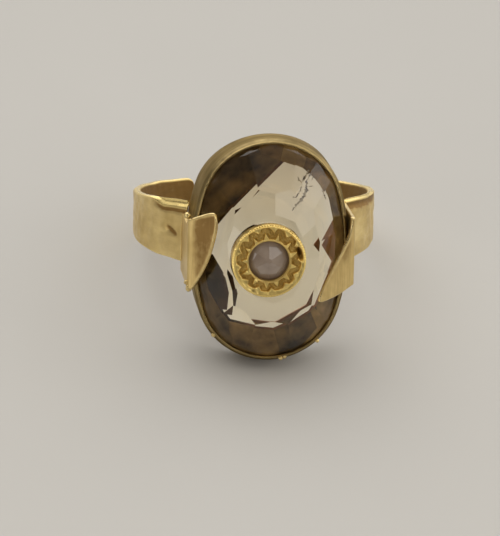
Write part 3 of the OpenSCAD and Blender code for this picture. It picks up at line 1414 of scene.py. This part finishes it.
@dataclass
class Bezel:
    """The thin oval gold wall round the stone, with a burnished rim and a saddle-shaped back.

    Attributes:
        frame: Turns the head frame to rest.
        levels: Levels of the finger hole and the rim.
        oval: The stone's outline.
        inner: Distance of the inner face from the outline.
        outer: Distance of the outer face from the outline.
        rim_t: Thickness of the burnished rim.
        rim_h: Height over which the wall thins to its rim.
        waver: Unevenness of the rim.
        length: Length of the way round the wall, for the chart.
        girth: Length of the way round its section, for the chart.
        stations: Number of sections.
        steps: Points on a section's wall, on its thinning part and on its rounded rim.
    """

    frame: RestFrame
    levels: Levels
    oval: Oval
    inner: float = 0.04
    outer: float = 0.44
    rim_t: float = 0.2
    rim_h: float = 0.42
    waver: float = 0.045
    length: float = 48.5
    girth: float = 7.0
    stations: int = 540
    steps: tuple[int, int, int] = (14, 10, 9)

    def section(self) -> tuple[Array, Array, Array]:
        """The wall's section, up its outer face, over the rounded rim and down its inner face.

        Returns:
            Distance of each point from the outline, distance below the rim, and share of the height.
        """
        wall = np.linspace(0.0, 1.0, self.steps[0])
        lip = np.linspace(0.0, 1.0, self.steps[1])[1:]
        cap = np.linspace(0.0, math.pi, self.steps[2])[1:-1]
        rim_r = self.rim_t / 2.0
        thick = self.outer - self.inner
        thin = thick + (self.rim_t - thick) * smooth_step(0.0, 1.0, lip)
        fall = self.rim_h * (1.0 - lip) + rim_r * lip
        low = np.full_like(wall, self.rim_h)
        offset = [np.full_like(wall, thick), thin, rim_r + rim_r * np.cos(cap), 0.0 * lip, 0.0 * wall]
        below = [low, fall, rim_r * (1.0 - np.sin(cap)), fall[::-1], low]
        up = [wall, np.ones(len(lip) + len(cap) + len(lip)), wall[::-1]]
        return self.inner + np.concatenate(offset), np.concatenate(below), np.concatenate(up)

    def surface(self) -> Surface:
        """The section carried round the oval, its foot laid on the finger hole.

        Returns:
            The wall.
        """
        lv = self.levels
        offset, below, up = self.section()
        cols = len(offset)
        phi = self.oval.facing(np.arange(self.stations) / self.stations)[:, None]
        x, y = self.oval.at(phi, offset)
        wave_l, fine_l, fine_share = 2.4, 0.9, 0.6
        uneven = self.waver * (ripple(31, wave_l, x, y) + fine_share * ripple(32, fine_l, x, y))
        burnish = smooth_step(0.4, 1.0, up) * smooth_step(self.rim_h + 0.01, 0.0, below)
        drawn_in = 0.5 * np.minimum(uneven, 0.0) * burnish * (offset > self.inner + 0.01)
        x, y = self.oval.at(phi, offset + drawn_in)
        lift_share, most_lift = 0.4, 0.02
        top = lv.rim + np.minimum(lift_share * uneven, most_lift) * burnish
        foot = finger_reach(x, lv.bore)
        d = foot + up * (top - below - foot)
        # The rim gets the crest colour, and the inner face below it painted shade.
        rim = smooth_step(0.30, 0.04, below) * (up > 0.99)
        inside = (offset < self.outer - 0.3) * (below > 0.15)
        corners = grid_corners(self.stations, cols, wrap_rows=True, wrap_cols=True)
        along = np.linspace(0.0, self.length, self.stations + 1)
        around = np.linspace(0.0, self.girth, cols + 1)
        return Surface(
            points=self.frame.from_head(x, y, d).reshape(-1, 3),
            quads=grid_quads(corners, self.stations, cols),
            chart=flat_chart(corners, along, around),
            masks={Mask.EDGE: np.tile(rim, self.stations), Mask.RECESS: np.tile(inside, self.stations)},
        )

    def build(self, material: Material) -> None:
        """Makes the wall, which stands for the bezel.

        Args:
            material: Finish of the wall.
        """
        piece = self.surface().to_object("bezel_rim_wall")
        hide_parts("bezel_wall")
        dress(piece, material)


@dataclass
class Beads:
    """Small lumps of solder and burnished prongs, each a round lump with an uneven skin.

    Attributes:
        frame: Turns the head frame to rest.
        places: Middle x, y and d of each lump in the head frame, then its radius.
        swelling: How uneven the lumps are, as a share of the radius.
        rubbed: How much they are rubbed, as an edge is.
        rings: Number of rings of points on a lump.
        cols: Number of points on a ring.
    """

    frame: RestFrame
    places: tuple[tuple[float, float, float, float], ...]
    swelling: float = 0.16
    rubbed: float = 0.5
    rings: int = 13
    cols: int = 22

    def surface(self, seed: int) -> Surface:
        """One ball for each place: rings of latitude between two poles, swollen by a ripple.

        Args:
            seed: Number that picks the unevenness.

        Returns:
            All the lumps as one surface of several shells.
        """
        wave_l, apart = 1.6, 3.0
        lat = np.linspace(-QUARTER_TURN, QUARTER_TURN, self.rings + 2)[1:-1, None]
        lon = np.linspace(0.0, FULL_TURN, self.cols, endpoint=False)
        shell = (np.cos(lat) * np.cos(lon), np.cos(lat) * np.sin(lon), np.sin(lat) + 0.0 * lon)
        poles = [(0.0, 0.0, -1.0), (0.0, 0.0, 1.0)]
        unit = np.concatenate([np.stack(shell, axis=-1).reshape(-1, 3), poles])
        lumps = []
        for number, (*middle, radius) in enumerate(self.places):
            swell = 1.0 + self.swelling * ripple(seed, wave_l, *(unit + apart * number).T)
            points = self.frame.from_head(*(middle + unit * (radius * swell[:, None])).T)
            lumps.append(capped_tube(points[:-2].reshape(self.rings, self.cols, 3), points[-2:], {}))
        joined = join(lumps)
        joined.masks = {Mask.EDGE: np.full(len(joined.points), self.rubbed)}
        return joined

    def build(self, name: str, slot: str, seed: int, material: Material) -> None:
        """Makes the lumps as one piece.

        Args:
            name: Name of the piece.
            slot: Not used.
            seed: Number that picks the unevenness.
            material: Finish of the lumps.
        """
        piece = self.surface(seed).to_object(name)
        dress(piece, material)


@dataclass
class Inlay:
    """The engraved collet with its small stone, and the peg and washer that hold it in the large stone.

    Attributes:
        frame: Turns the head frame to rest.
        levels: Level of the collet's foot.
        offset: Sideways place of the collet.
        radius: Radius of the collet.
        height: Height of the collet.
        lip_r: Radius of the opening over the small stone.
        gem_r: Radius of the small stone.
        floor: Height of the small stone's floor.
        edge: Radius of the beaded edge.
        lip: Width that the engraving leaves to the lip.
        points: Number of engraved rays.
        ray_r: Radius from which the rays run out.
        ray_h: Length of the rays.
        border_r: Radius from which the border's teeth run in.
        tooth_h: Length of the teeth.
        narrow: Share of the zigzag at which the rays start, which makes them narrow.
        wide: Share of the zigzag at which the teeth end.
        ground_depth: Depth of the ground between them.
        shift: How much the cut lies above the middle, which leaves a wider border below.
        gouge_at: Place of the gouge across and along the finger, from the collet's middle.
        gouge_d: Depth of the gouge.
        grains: Number of beads on the edge.
        bead_r: How far the edge is drawn in between the beads.
        bead_d: How far the edge is sunk between the beads.
    """

    frame: RestFrame
    levels: Levels
    offset: float = -0.5
    radius: float = 3.05
    height: float = 1.15
    lip_r: float = 1.66
    gem_r: float = 1.705
    floor: float = 0.25
    edge: float = 0.16
    lip: float = 0.10
    points: int = 13
    ray_r: float = 1.80
    ray_h: float = 0.60
    border_r: float = 2.70
    tooth_h: float = 0.36
    narrow: float = 0.52
    wide: float = 0.48
    ground_depth: float = 0.26
    shift: float = 0.13
    gouge_at: Pair = (2.55, 0.53)
    gouge_d: float = 0.45
    grains: int = 84
    bead_r: float = 0.08
    bead_d: float = 0.07

    def wave(self, theta: Array) -> Array:
        """Zigzag from 0 between the rays to about 1 at their points, a little uneven, as cut by hand.

        Args:
            theta: Directions in radians from 0 to a full turn.

        Returns:
            The share in each direction.
        """
        rng = np.random.default_rng(7)
        count = 2 * self.points
        turn = (np.arange(count) + rng.uniform(-0.2, 0.2, count)) * FULL_TURN / count
        share = np.arange(count) % 2 * rng.uniform(0.82, 1.0, count)
        turn = np.concatenate([turn[-1:] - FULL_TURN, turn, turn[:1] + FULL_TURN])
        return np.interp(theta, turn, np.concatenate([share[-1:], share, share[:1]]))

    def relief(self, radius: Array, theta: Array) -> tuple[Array, Array]:
        """Height of the engraved top and how deep in the sunk ground each point is.

        Narrow rays run out from the lip, and short teeth run in from the border between them. The ground
        between them is cut away, and a gouge is left on the right.

        Args:
            radius: Distance from the collet's middle.
            theta: Direction from it.

        Returns:
            The height above the collet's foot, and from 0 to 1 how deep in the ground or the gouge each point
            is, which sets its painted shade.
        """
        x, y = radius * np.cos(theta), radius * np.sin(theta)
        high = y - self.shift * smooth_step(1.9, 2.7, radius)
        far = np.hypot(x, high)
        wave = self.wave(np.arctan2(high, x) % FULL_TURN)
        ray = self.ray_r + self.ray_h * np.clip((wave - self.narrow) / (1.0 - self.narrow), 0.0, 1.0)
        tooth = self.border_r - self.tooth_h * np.clip(1.0 - wave / self.wide, 0.0, 1.0)
        slope = (-0.02, 0.13)
        cut = smooth_step(*slope, far - ray) * smooth_step(*slope, tooth - far)
        uneven = ripple(41, 1.1, x, y)
        dome = 0.05 + 0.05 * smooth_step(self.radius - 0.5, self.radius, radius)
        gouge_w, gouge_l, gouge_lean = 0.17, 0.5, 0.25
        up = y - self.gouge_at[1]
        gouge = bell(x - self.gouge_at[0] + gouge_lean * up, gouge_w) * bell(up, gouge_l, 4)
        top = self.height - dome - self.ground_depth * cut * (1.0 + 0.2 * uneven) + 0.018 * uneven
        top = top + 0.03 * cut * ripple(42, 0.35, x, y)
        return top - self.gouge_d * gouge, np.maximum(0.9 * cut, 1.6 * gouge)

    def beads(self, theta: Array) -> Array:
        """Beads of uneven sizes round the edge: a sine without its sign, worn smooth towards the low side.

        Args:
            theta: Directions in radians from 0 to a full turn.

        Returns:
            Height of the beads from 0 to 1 in each direction.
        """
        sizes = np.random.default_rng(9).uniform(0.35, 1.0, self.grains)
        number = np.floor(theta / FULL_TURN * self.grains).astype(int)
        bead = np.abs(np.sin(theta * self.grains / 2.0)) * sizes[number]
        return 1.0 - (1.0 - bead) * (0.3 + 0.7 * smooth_step(-0.2, 0.6, np.sin(theta)))

    def profile(self) -> dict[str, Array]:
        """The collet's half section, from its foot over its top to the floor of its cup.

        Returns:
            Radius and height of the points of each part, as rows. The top is flat, before its engraving.
        """
        high, deep = self.height, self.floor - 0.005
        edge = np.linspace(0.0, QUARTER_TURN, 9)
        lip = np.linspace(0.0, QUARTER_TURN, 7)
        wall_z = np.linspace(0.15, high - 0.17, 5)
        top_r = np.linspace(self.radius - self.edge, self.lip_r + self.lip, 52)
        edge_r = self.radius - self.edge + self.edge * np.cos(edge)
        lip_round = 0.08
        lip_r = self.lip_r + lip_round * (1.0 - np.sin(lip))
        foot = [(1.2, 0.0), (2.4, 0.0), (self.radius - 0.03, 0.0), (self.radius, 0.03)]
        cup = [(self.lip_r, 0.66), (self.gem_r, 0.60), (self.gem_r, self.floor), (1.2, deep), (0.6, deep)]
        return {
            "foot": np.array(foot),
            "wall": np.stack([np.full_like(wall_z, self.radius), wall_z], axis=1),
            "edge": np.stack([edge_r, high - 0.15 + 0.104 * np.sin(edge)], axis=1),
            "top": np.stack([top_r, np.full_like(top_r, high)], axis=1),
            "lip": np.stack([lip_r, high - 0.16 + lip_round * np.cos(lip)], axis=1),
            "cup": np.array(cup),
        }

    def collet(self) -> Surface:
        """The half section turned about the collet's axis, with the engraved top and the beaded edge.

        Returns:
            The collet.
        """
        steps_per_ray = 60
        theta = np.linspace(0.0, FULL_TURN, steps_per_ray * self.points, endpoint=False)
        parts = self.profile()
        part = np.repeat(list(parts), [len(points) for points in parts.values()])[:, None]
        on_edge, on_top = part == "edge", part == "top"
        radius, z = (column[:, None] for column in np.concatenate(list(parts.values())).T)

        edge_r, lip_r = self.radius - self.edge, self.lip_r + self.lip
        edge_fade, lip_fade = 0.18, 0.14
        blend = smooth_step(edge_r, edge_r - edge_fade, radius) * smooth_step(lip_r, lip_r + lip_fade, radius)
        height, depth = self.relief(radius, theta)
        edge_drop, lip_drop, middle_r = 0.045, 0.075, 2.2
        border = self.height - np.where(radius > middle_r, edge_drop, lip_drop)
        z = np.where(on_top, height * blend + border * (1.0 - blend), z)

        bead = self.beads(theta)
        swell = np.zeros_like(radius)
        swell[on_edge] = np.clip(np.sin(np.linspace(0.0, math.pi, int(on_edge.sum()))), 0.0, 1.0)
        waver = 0.02 * ripple(43, 2.4, radius * np.cos(theta), radius * np.sin(theta))
        z = z - self.bead_d * (1.0 - bead) * swell + waver * np.clip(blend + swell, 0.0, 1.0)
        bead_r = radius - self.bead_r * (1.0 - bead) * swell
        x, y = self.offset + bead_r * np.cos(theta), bead_r * np.sin(theta)

        # The raised relief and the beads get the crest colour, partly a painted highlight; the ground, the
        # gouge and the cup under the lip get painted shade.
        plain = np.clip(1.0 - depth, 0.0, 1.0) * (0.4 + 0.6 * blend)
        shade = np.where(radius < self.lip_r + 0.05, 0.8, 0.0)
        masks = {
            Mask.EDGE: np.where(on_top, plain, 0.0) + np.where(on_edge, 0.9 * bead, 0.0),
            Mask.RECESS: np.where(on_top, depth * blend, 0.0) + shade,
        }
        pole_z = np.array([parts["foot"][0, 1], parts["cup"][-1, 1]])
        return capped_tube(
            self.frame.from_head(x, y, self.levels.inlay + z),
            self.frame.from_head(self.offset, 0.0, self.levels.inlay + pole_z),
            masks,
            turn=-1,
        )

    def build(self, gold: Material, plain: Material, gem: Material, nodes: dict[str, Object]) -> None:
        """Makes the collet and dresses the small stone, the peg and the washer.

        Args:
            gold: Finish of the engraved collet.
            plain: Finish of the peg and the washer.
            gem: Finish of the small stone.
            nodes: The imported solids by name.
        """
        piece = self.collet().to_object("engraved_collet")
        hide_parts("inlay_collet")
        dress(piece, gold)
        for name in ("inlay_peg", "peg_washer"):
            dress(nodes[name], plain)
        dress(nodes["inlay_stone"], gem)
        facet(nodes["inlay_stone"])


@dataclass
class CentreStone:
    """The large clear stone, the frame that it sits on, and the feather inside it.

    Attributes:
        frame: Turns the head frame to rest.
        levels: Levels of the stone's girdle and table.
        oval: The stone's outline.
        rows: Each row of crown facets as its count, the share at which it starts, and its outer and inner
            points as shares of the outline and of the crown's height.
        cracks: Half the width of each line of the feather, and the places across and along the finger
            that it passes.
        depth: How far the feather lies under the crown.
        film_t: Thickness of the feather's films.
        stray: How far the films stray from their lines.
        film_step: Distance between points along a film.
        pale_way: Direction in which the painted shade on the back facets is palest, in radians.
        bed_tone: Mean number of the painted shade that a facet gets, and how much its direction adds.
        bed_slant: Least and greatest share by which a facet with painted shade faces backwards.
    """

    frame: RestFrame
    levels: Levels
    oval: Oval
    rows: tuple[tuple[int, float, Pair, Pair], ...] = (
        (24, 0.5, (1.0, 0.0), (0.91, 0.38)),
        (12, 0.0, (0.99, 0.06), (0.60, 0.86)),
        (12, 0.5, (0.70, 0.76), (0.40, 1.0)),
    )
    cracks: tuple[tuple[float, tuple[Pair, ...]], ...] = (
        (0.085, ((2.97, 7.00), (2.68, 6.62), (2.33, 6.21))),
        (0.050, ((3.22, 6.78), (2.97, 6.52), (2.68, 6.18))),
        (0.115, (
            (2.58, 6.20), (2.72, 6.05), (2.67, 5.80), (2.62, 5.44), (2.41, 5.10), (2.05, 4.73), (1.63, 4.42),
        )),
        (0.050, ((2.29, 5.93), (2.18, 5.65), (1.99, 5.39), (1.70, 5.07), (1.43, 5.12))),
        (0.045, ((3.34, 6.46), (3.23, 6.30), (3.14, 6.18))),
        (0.030, ((2.74, 5.79), (3.01, 5.78), (3.26, 5.73))),
        (0.050, ((1.91, 6.60), (2.05, 6.34), (2.27, 6.05))),
        (0.045, ((1.75, 4.36), (1.50, 4.19), (1.42, 4.02))),
        (0.035, ((4.01, 5.37), (4.22, 4.95), (4.32, 4.57))),
    )
    depth: float = 0.05
    film_t: float = 0.03
    stray: float = 0.05
    film_step: float = 0.04
    pale_way: float = 0.3
    bed_tone: Pair = (0.8, 0.9)
    bed_slant: Pair = (0.3, 0.99)

    def crown(self, x: Array, y: Array) -> Array:
        """Level of the crown: the lowest of the table and the planes of all its facets.

        Args:
            x: Places across the finger.
            y: Places along it.

        Returns:
            Distance from the finger hole's axis at each place.
        """
        lv = self.levels
        rise = lv.table - lv.girdle
        level = np.full(np.shape(x), lv.table)
        for count, start, outer, inner in self.rows:
            phi = self.oval.facing((np.arange(count) + start) / count)
            c, s = np.cos(phi), np.sin(phi)
            edge_x, edge_y = self.oval.at(phi, 0.0)
            reach = edge_x * c + edge_y * s
            slope = (inner[1] - outer[1]) * rise / ((outer[0] - inner[0]) * reach)
            inset = outer[0] * reach - x[..., None] * c - y[..., None] * s
            level = np.minimum(level, (lv.girdle + outer[1] * rise + slope * inset).min(axis=-1))
        return level

    def film(self, number: int) -> Surface:
        """A ragged film under the crown: a ribbon along a broken line, widest and thickest in its middle.

        Args:
            number: Which of the feather's lines it follows.

        Returns:
            The film.
        """
        half_w, line = self.cracks[number]
        knots = np.array(line)
        run = np.concatenate([[0.0], np.cumsum(np.hypot(*np.diff(knots, axis=0).T))])
        across = np.linspace(-1.0, 1.0, 9)[None, :]
        share = np.linspace(0.0, 1.0, max(12, int(run[-1] / self.film_step)))[:, None]
        along = share * run[-1]
        x, y = (np.interp(along, run, knot) for knot in knots.T)
        way_x, way_y = np.gradient(x, axis=0), np.gradient(y, axis=0)
        length = np.hypot(way_x, way_y)
        swell = np.sqrt(np.sin(math.pi * share).clip(0.0))
        half = half_w * (0.2 + 0.8 * swell) * (1.0 + 0.6 * ripple(50 + number, 0.7, along))
        side = half * across + self.stray * swell * ripple(60 + number, 0.6, along)
        x, y = x - side * way_y / length, y + side * way_x / length
        level = self.crown(x, y) - self.depth
        under = level - self.film_t * np.sqrt(1.0 - across**2) * swell
        chart = np.stack(np.broadcast_arrays(along, half * across), axis=-1)
        return pillow_plate(*(self.frame.from_head(x, y, d) for d in (level, under)), chart, {})

    def bed(self, stone: Object, shade_paints: list[Material]) -> None:
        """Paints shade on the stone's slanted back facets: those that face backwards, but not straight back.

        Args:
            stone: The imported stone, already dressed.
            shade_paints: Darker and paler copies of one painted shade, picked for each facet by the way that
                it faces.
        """
        mesh = stone.data
        facing = np.empty(3 * len(mesh.polygons))
        mesh.polygons.foreach_get("normal", facing)
        facing = facing.reshape(-1, 3)
        back = facing @ -self.frame.from_head(0.0, 0.0, 1.0)
        turn = np.arctan2(facing @ self.frame.from_head(0.0, 1.0, 0.0), facing[:, 0])
        # A fixed shuffle that is the same all over a facet
        uneven = np.sin(7.0 * np.round(turn * 8.0) + 5.0 * np.round(back * 12.0))
        # Paler copies of the painted shade go on facets that face towards pale_way.
        tone = self.bed_tone[0] + self.bed_tone[1] * np.cos(turn - self.pale_way) + uneven
        pick = np.clip(np.round(tone), 0, len(shade_paints) - 1)
        painted_facets = (back > self.bed_slant[0]) & (back < self.bed_slant[1])
        for shade_paint in shade_paints:
            mesh.materials.append(shade_paint)
        mesh.polygons.foreach_set("material_index", np.where(painted_facets, 1 + pick, 0).astype(np.int32))
        LOG.info("%s: %d faces in cement", stone.name, int(painted_facets.sum()))

    def build(
        self,
        quartz: Material,
        shade_paints: list[Material],
        gold: Material,
        film: Material,
        nodes: dict[str, Object],
    ) -> None:
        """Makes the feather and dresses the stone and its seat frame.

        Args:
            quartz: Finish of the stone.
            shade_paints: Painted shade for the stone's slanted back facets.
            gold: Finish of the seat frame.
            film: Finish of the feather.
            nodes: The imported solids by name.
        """
        dress(nodes["centre_stone"], quartz)
        self.bed(nodes["centre_stone"], shade_paints)
        facet(nodes["centre_stone"])
        dress(nodes["seat_frame"], gold)
        facet(nodes["seat_frame"])
        feather = join([self.film(number) for number in range(len(self.cracks))])
        piece = feather.to_object("stone_feather")
        dress(piece, film)


@dataclass
class Studio:
    """Plain pale floor, soft light and a camera at the photograph's viewing angle.

    Attributes:
        frame: Turns the ring frame to rest.
        azimuth: Camera's turn to the right of the head, in degrees.
        elevation: Camera's height above the band's plane, in degrees.
        roll: Camera's roll in degrees.
        distance: Distance of the camera from the finger hole's middle.
        scale: Pixels to a millimetre at that distance.
        centre: Pixel of the finger hole's middle.
        size: Picture size in pixels.
        floor_reach: Distance of the floor's sides from the middle, in metres.
        floor_color: Colour of the floor.
        bright_way: Direction towards the brightest part of the room.
        glow: Colours of the room, from away from that direction, at 0, to towards it, at 1.
        strength: Strength of the room's light.
        lamp_color: Colour of the soft boxes.
        boxes: Name, place, side and power in watts of each soft box.
    """

    frame: RestFrame
    azimuth: float = -7.0
    elevation: float = 14.0
    roll: float = 1.2
    distance: float = 250.0
    scale: float = 11.57
    centre: Pair = (253.4, 215.9)
    size: tuple[int, int] = (500, 536)
    floor_reach: float = 0.4
    floor_color: Color = (0.562, 0.550, 0.522)
    bright_way: Place = (0.20, 0.88, 0.43)
    glow: tuple[tuple[float, Color], ...] = (
        (0.30, (0.05, 0.04, 0.03)),
        (0.58, (0.15, 0.135, 0.115)),
        (0.75, (0.60, 0.585, 0.56)),
        (0.88, (1.0, 0.98, 0.95)),
    )
    strength: float = 1.52
    lamp_color: Color = (1.0, 0.97, 0.93)
    boxes: tuple[tuple[str, Place, float, float], ...] = (
        ("key", (-150.0, 120.0, 350.0), 450.0, 0.46),
        ("right", (180.0, -248.0, 187.0), 190.0, 0.16),
        ("left", (-250.0, -215.0, 85.0), 200.0, 0.20),
        ("side", (300.0, -60.0, 120.0), 200.0, 0.16),
    )

    def camera(self) -> None:
        """Places the camera so that the finger hole's middle falls on its pixel."""
        az, el, roll = (math.radians(a) for a in (self.azimuth, self.elevation, self.roll))
        away = np.array([math.sin(az) * math.cos(el), -math.cos(az) * math.cos(el), math.sin(el)])
        right = np.cross(-away, [0.0, 0.0, 1.0])
        right /= np.linalg.norm(right)
        up = np.cross(right, -away)
        c, s = math.cos(roll), math.sin(roll)
        right, up = right * c + up * s, up * c - right * s
        shift = (np.array(self.size) / 2.0 - self.centre) / self.scale
        aim = right * shift[0] - up * shift[1]
        away, up, aim = (Vector(self.frame.from_ring(*v)) for v in (away * self.distance, up, aim))
        ahead = (aim - away).normalized()
        right = ahead.cross(up).normalized()
        up = right.cross(ahead)
        data = bpy.data.cameras.new("camera")
        data.sensor_fit = "HORIZONTAL"
        data.lens = data.sensor_width * self.scale * self.distance / self.size[0]
        data.clip_start, data.clip_end = 0.01, 20.0
        camera = add_object("camera", data)
        turn = Matrix((right, up, -ahead)).transposed().to_4x4()
        camera.matrix_world = Matrix.Translation(away * MM) @ turn
        bpy.context.scene.camera = camera

    def floor(self, level: float) -> None:
        """Lays the floor.

        Args:
            level: Height of the floor in metres.
        """
        reach = self.floor_reach
        mesh = bpy.data.meshes.new("floor")
        corners = [(-reach, -reach), (reach, -reach), (reach, reach), (-reach, reach)]
        mesh.from_pydata([(x, y, level) for x, y in corners], [], [(0, 1, 2, 3)])
        floor = add_object("floor", mesh)
        material, graph, shader = new_material("pale_floor")
        clouds = graph.noise(graph.place(), 60.0, 2.0)
        darker = tuple(0.97 * c for c in self.floor_color)
        graph.fill(shader, {
            "Base Color": graph.mix(clouds, self.floor_color, darker),
            "Roughness": 0.9,
            "Specular IOR Level": 0.2,
        })
        dress(floor, material)
        floor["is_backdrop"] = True

    def light(self) -> None:
        """Adds four soft boxes and a room that is bright above and behind, and dim towards the front."""
        world = bpy.data.worlds.new("room")
        bpy.context.scene.world = world
        world.use_nodes = True
        graph = Graph(world.node_tree)
        facing = graph.add("ShaderNodeVectorMath")
        facing.operation = "DOT_PRODUCT"
        facing.inputs[1].default_value = self.bright_way
        graph.fill(facing, {0: graph.add("ShaderNodeTexCoord").outputs["Generated"]})
        towards = graph.math("MULTIPLY_ADD", facing.outputs["Value"], 0.5, 0.5)
        ramp = graph.add("ShaderNodeValToRGB", Fac=towards)
        stops = ramp.color_ramp.elements
        for position, color in self.glow:
            stops.new(position).color = (*color, 1.0)
        # The ramp's own two stops, at its ends, are not needed
        stops.remove(stops[-1])
        stops.remove(stops[0])
        graph.fill(graph.tree.nodes["Background"], {"Color": ramp.outputs[0], "Strength": self.strength})
        for name, place, size, power in self.boxes:
            self.soft_box(name, place, size, power)

    def soft_box(self, name: str, place: Place, size: float, power: float) -> None:
        """Adds a square lamp that points at the ring.

        Args:
            name: Name of the lamp.
            place: Its place in millimetres.
            size: Length of its side in millimetres.
            power: Its power in watts.
        """
        lamp = bpy.data.lights.new(name, "AREA")
        lamp.size = size * MM
        lamp.energy = power
        lamp.color = self.lamp_color
        box = add_object(name, lamp)
        box.location = Vector(place) * MM
        box.rotation_euler = (-Vector(place)).to_track_quat("-Z", "Y").to_euler()

    def build(self, level: float) -> None:
        """Makes the camera, the floor and the lights.

        Args:
            level: Height of the floor in metres.
        """
        self.camera()
        self.floor(level)
        self.light()
        bpy.context.scene.view_settings.view_transform = "Standard"


def main() -> None:
    """Builds the ring's pieces in order, dresses them and lights the scene."""
    logging.basicConfig(level=logging.INFO, format="%(name)s: %(message)s")
    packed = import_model()
    solid_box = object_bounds()
    nodes = packed["nodes"]
    levels = Levels()
    oval = Oval()
    # The ring lies on the bezel's lower end and on the lower corners of the arms' free ends
    end_y = math.sqrt(levels.band**2 - Arm.gap**2)
    rest = RestFrame(math.atan2(oval.half_l + Bezel.outer - Arm.end_w / 2.0, levels.bore + end_y))

    band_gold = GoldFinish(
        "hammered_gold", base=(0.93, 0.74, 0.35), cloud=(0.74, 0.56, 0.23), deep=(0.31, 0.185, 0.06),
        crest=(0.94, 0.74, 0.30), rubbed=0.8, grain=2.0, skin=14.0, drawn=0.25,
    ).material()
    claw_gold = GoldFinish(
        "brushed_gold", base=(0.87, 0.68, 0.31), cloud=(0.58, 0.42, 0.17), deep=(0.30, 0.185, 0.065),
        roughness=0.38, grain=14.0, skin=8.0, streaks=0.8,
    ).material()
    # A much darker copy of the band's gold: painted shade over the whole bezel wall.
    bezel_gold = GoldFinish(
        "bezel_gold", base=(0.44, 0.335, 0.156), cloud=(0.15, 0.112, 0.053), deep=(0.09, 0.065, 0.035),
        glance=(0.78, 0.67, 0.50), crest=(0.46, 0.345, 0.15), rubbed=0.7, roughness=0.36, streaks=0.9,
        grain=22.0, fine=3.5, drawn=0.03,
    ).material()
    inlay_gold = GoldFinish(
        "engraved_gold", base=(0.92, 0.68, 0.24), cloud=(0.84, 0.60, 0.20), deep=(0.42, 0.275, 0.08),
        crest=(1.0, 0.77, 0.27), rubbed=0.9, roughness=0.31, polish=0.0, matte=0.2, charted=False,
        drawn=1.0, grain=6.0, skin=16.0,
    ).material()
    plain_gold = GoldFinish("peg_gold", charted=False, drawn=0.2, grain=3.0).material()
    seat_gold = SeatFinish().material()

    Arm(
        rest, levels, Side.LEFT, seed=3, filed=(12.0, 9.6), crease_w=0.16, crease_d=0.17, nick_d=0.18,
        overlap=0.36, bevel=0.66,
    ).build(band_gold)
    Arm(
        rest, levels, Side.RIGHT, seed=4, filed=(16.0, 11.5), crease_w=0.30, crease_d=0.26, bevel=0.2,
    ).build(band_gold)
    Claw(
        rest, levels, Side.LEFT, seed=21, reach=2.6, bulge=0.8, dull=(0.8, 0.4, 1.5, -3.0), leg_cut=0.7,
    ).build(claw_gold)
    Claw(
        rest, levels, Side.RIGHT, seed=22, reach=3.9, bulge=-0.1, dull=(0.0, 1.3, -1.5, 1.0), fold_cut=0.15,
    ).build(claw_gold)
    Bezel(rest, levels, oval).build(bezel_gold)
    # Three copies of one painted shade, from darkest to palest, for the stone's slanted back facets.
    shade_paints = [
        CementFinish("dark_shade_paint", (0.33, 0.23, 0.105), (0.02, 0.013, 0.007)).material(),
        CementFinish("brown_shade_paint", (0.50, 0.345, 0.16), (0.06, 0.038, 0.018)).material(),
        CementFinish("tan_shade_paint", (0.72, 0.535, 0.265), (0.20, 0.14, 0.068)).material(),
    ]
    CentreStone(rest, levels, oval).build(
        QuartzFinish().material(), shade_paints, seat_gold, FeatherFinish().material(), nodes,
    )
    Beads(rest, (
        (-6.95, 3.20, 12.35, 0.26),
        (-6.98, -2.45, 12.45, 0.20),
        (-6.85, -2.80, 12.62, 0.18),
        (-6.78, -3.05, 12.45, 0.20),
    )).build("claw_solder", "gold_claws", 71, plain_gold)
    Beads(rest, (
        (1.05, -9.20, 11.98, 0.20),
        (1.40, -9.12, 11.95, 0.16),
        (4.10, -7.75, 11.95, 0.18),
        (-4.60, -7.14, 11.95, 0.18),
    )).build("rim_grains", "gold_bezel", 72, plain_gold)
    Inlay(rest, levels).build(inlay_gold, plain_gold, CloudyGemFinish().material(), nodes)
    Studio(rest).build(solid_box[0].z)


if __name__ == "__main__":
    main()
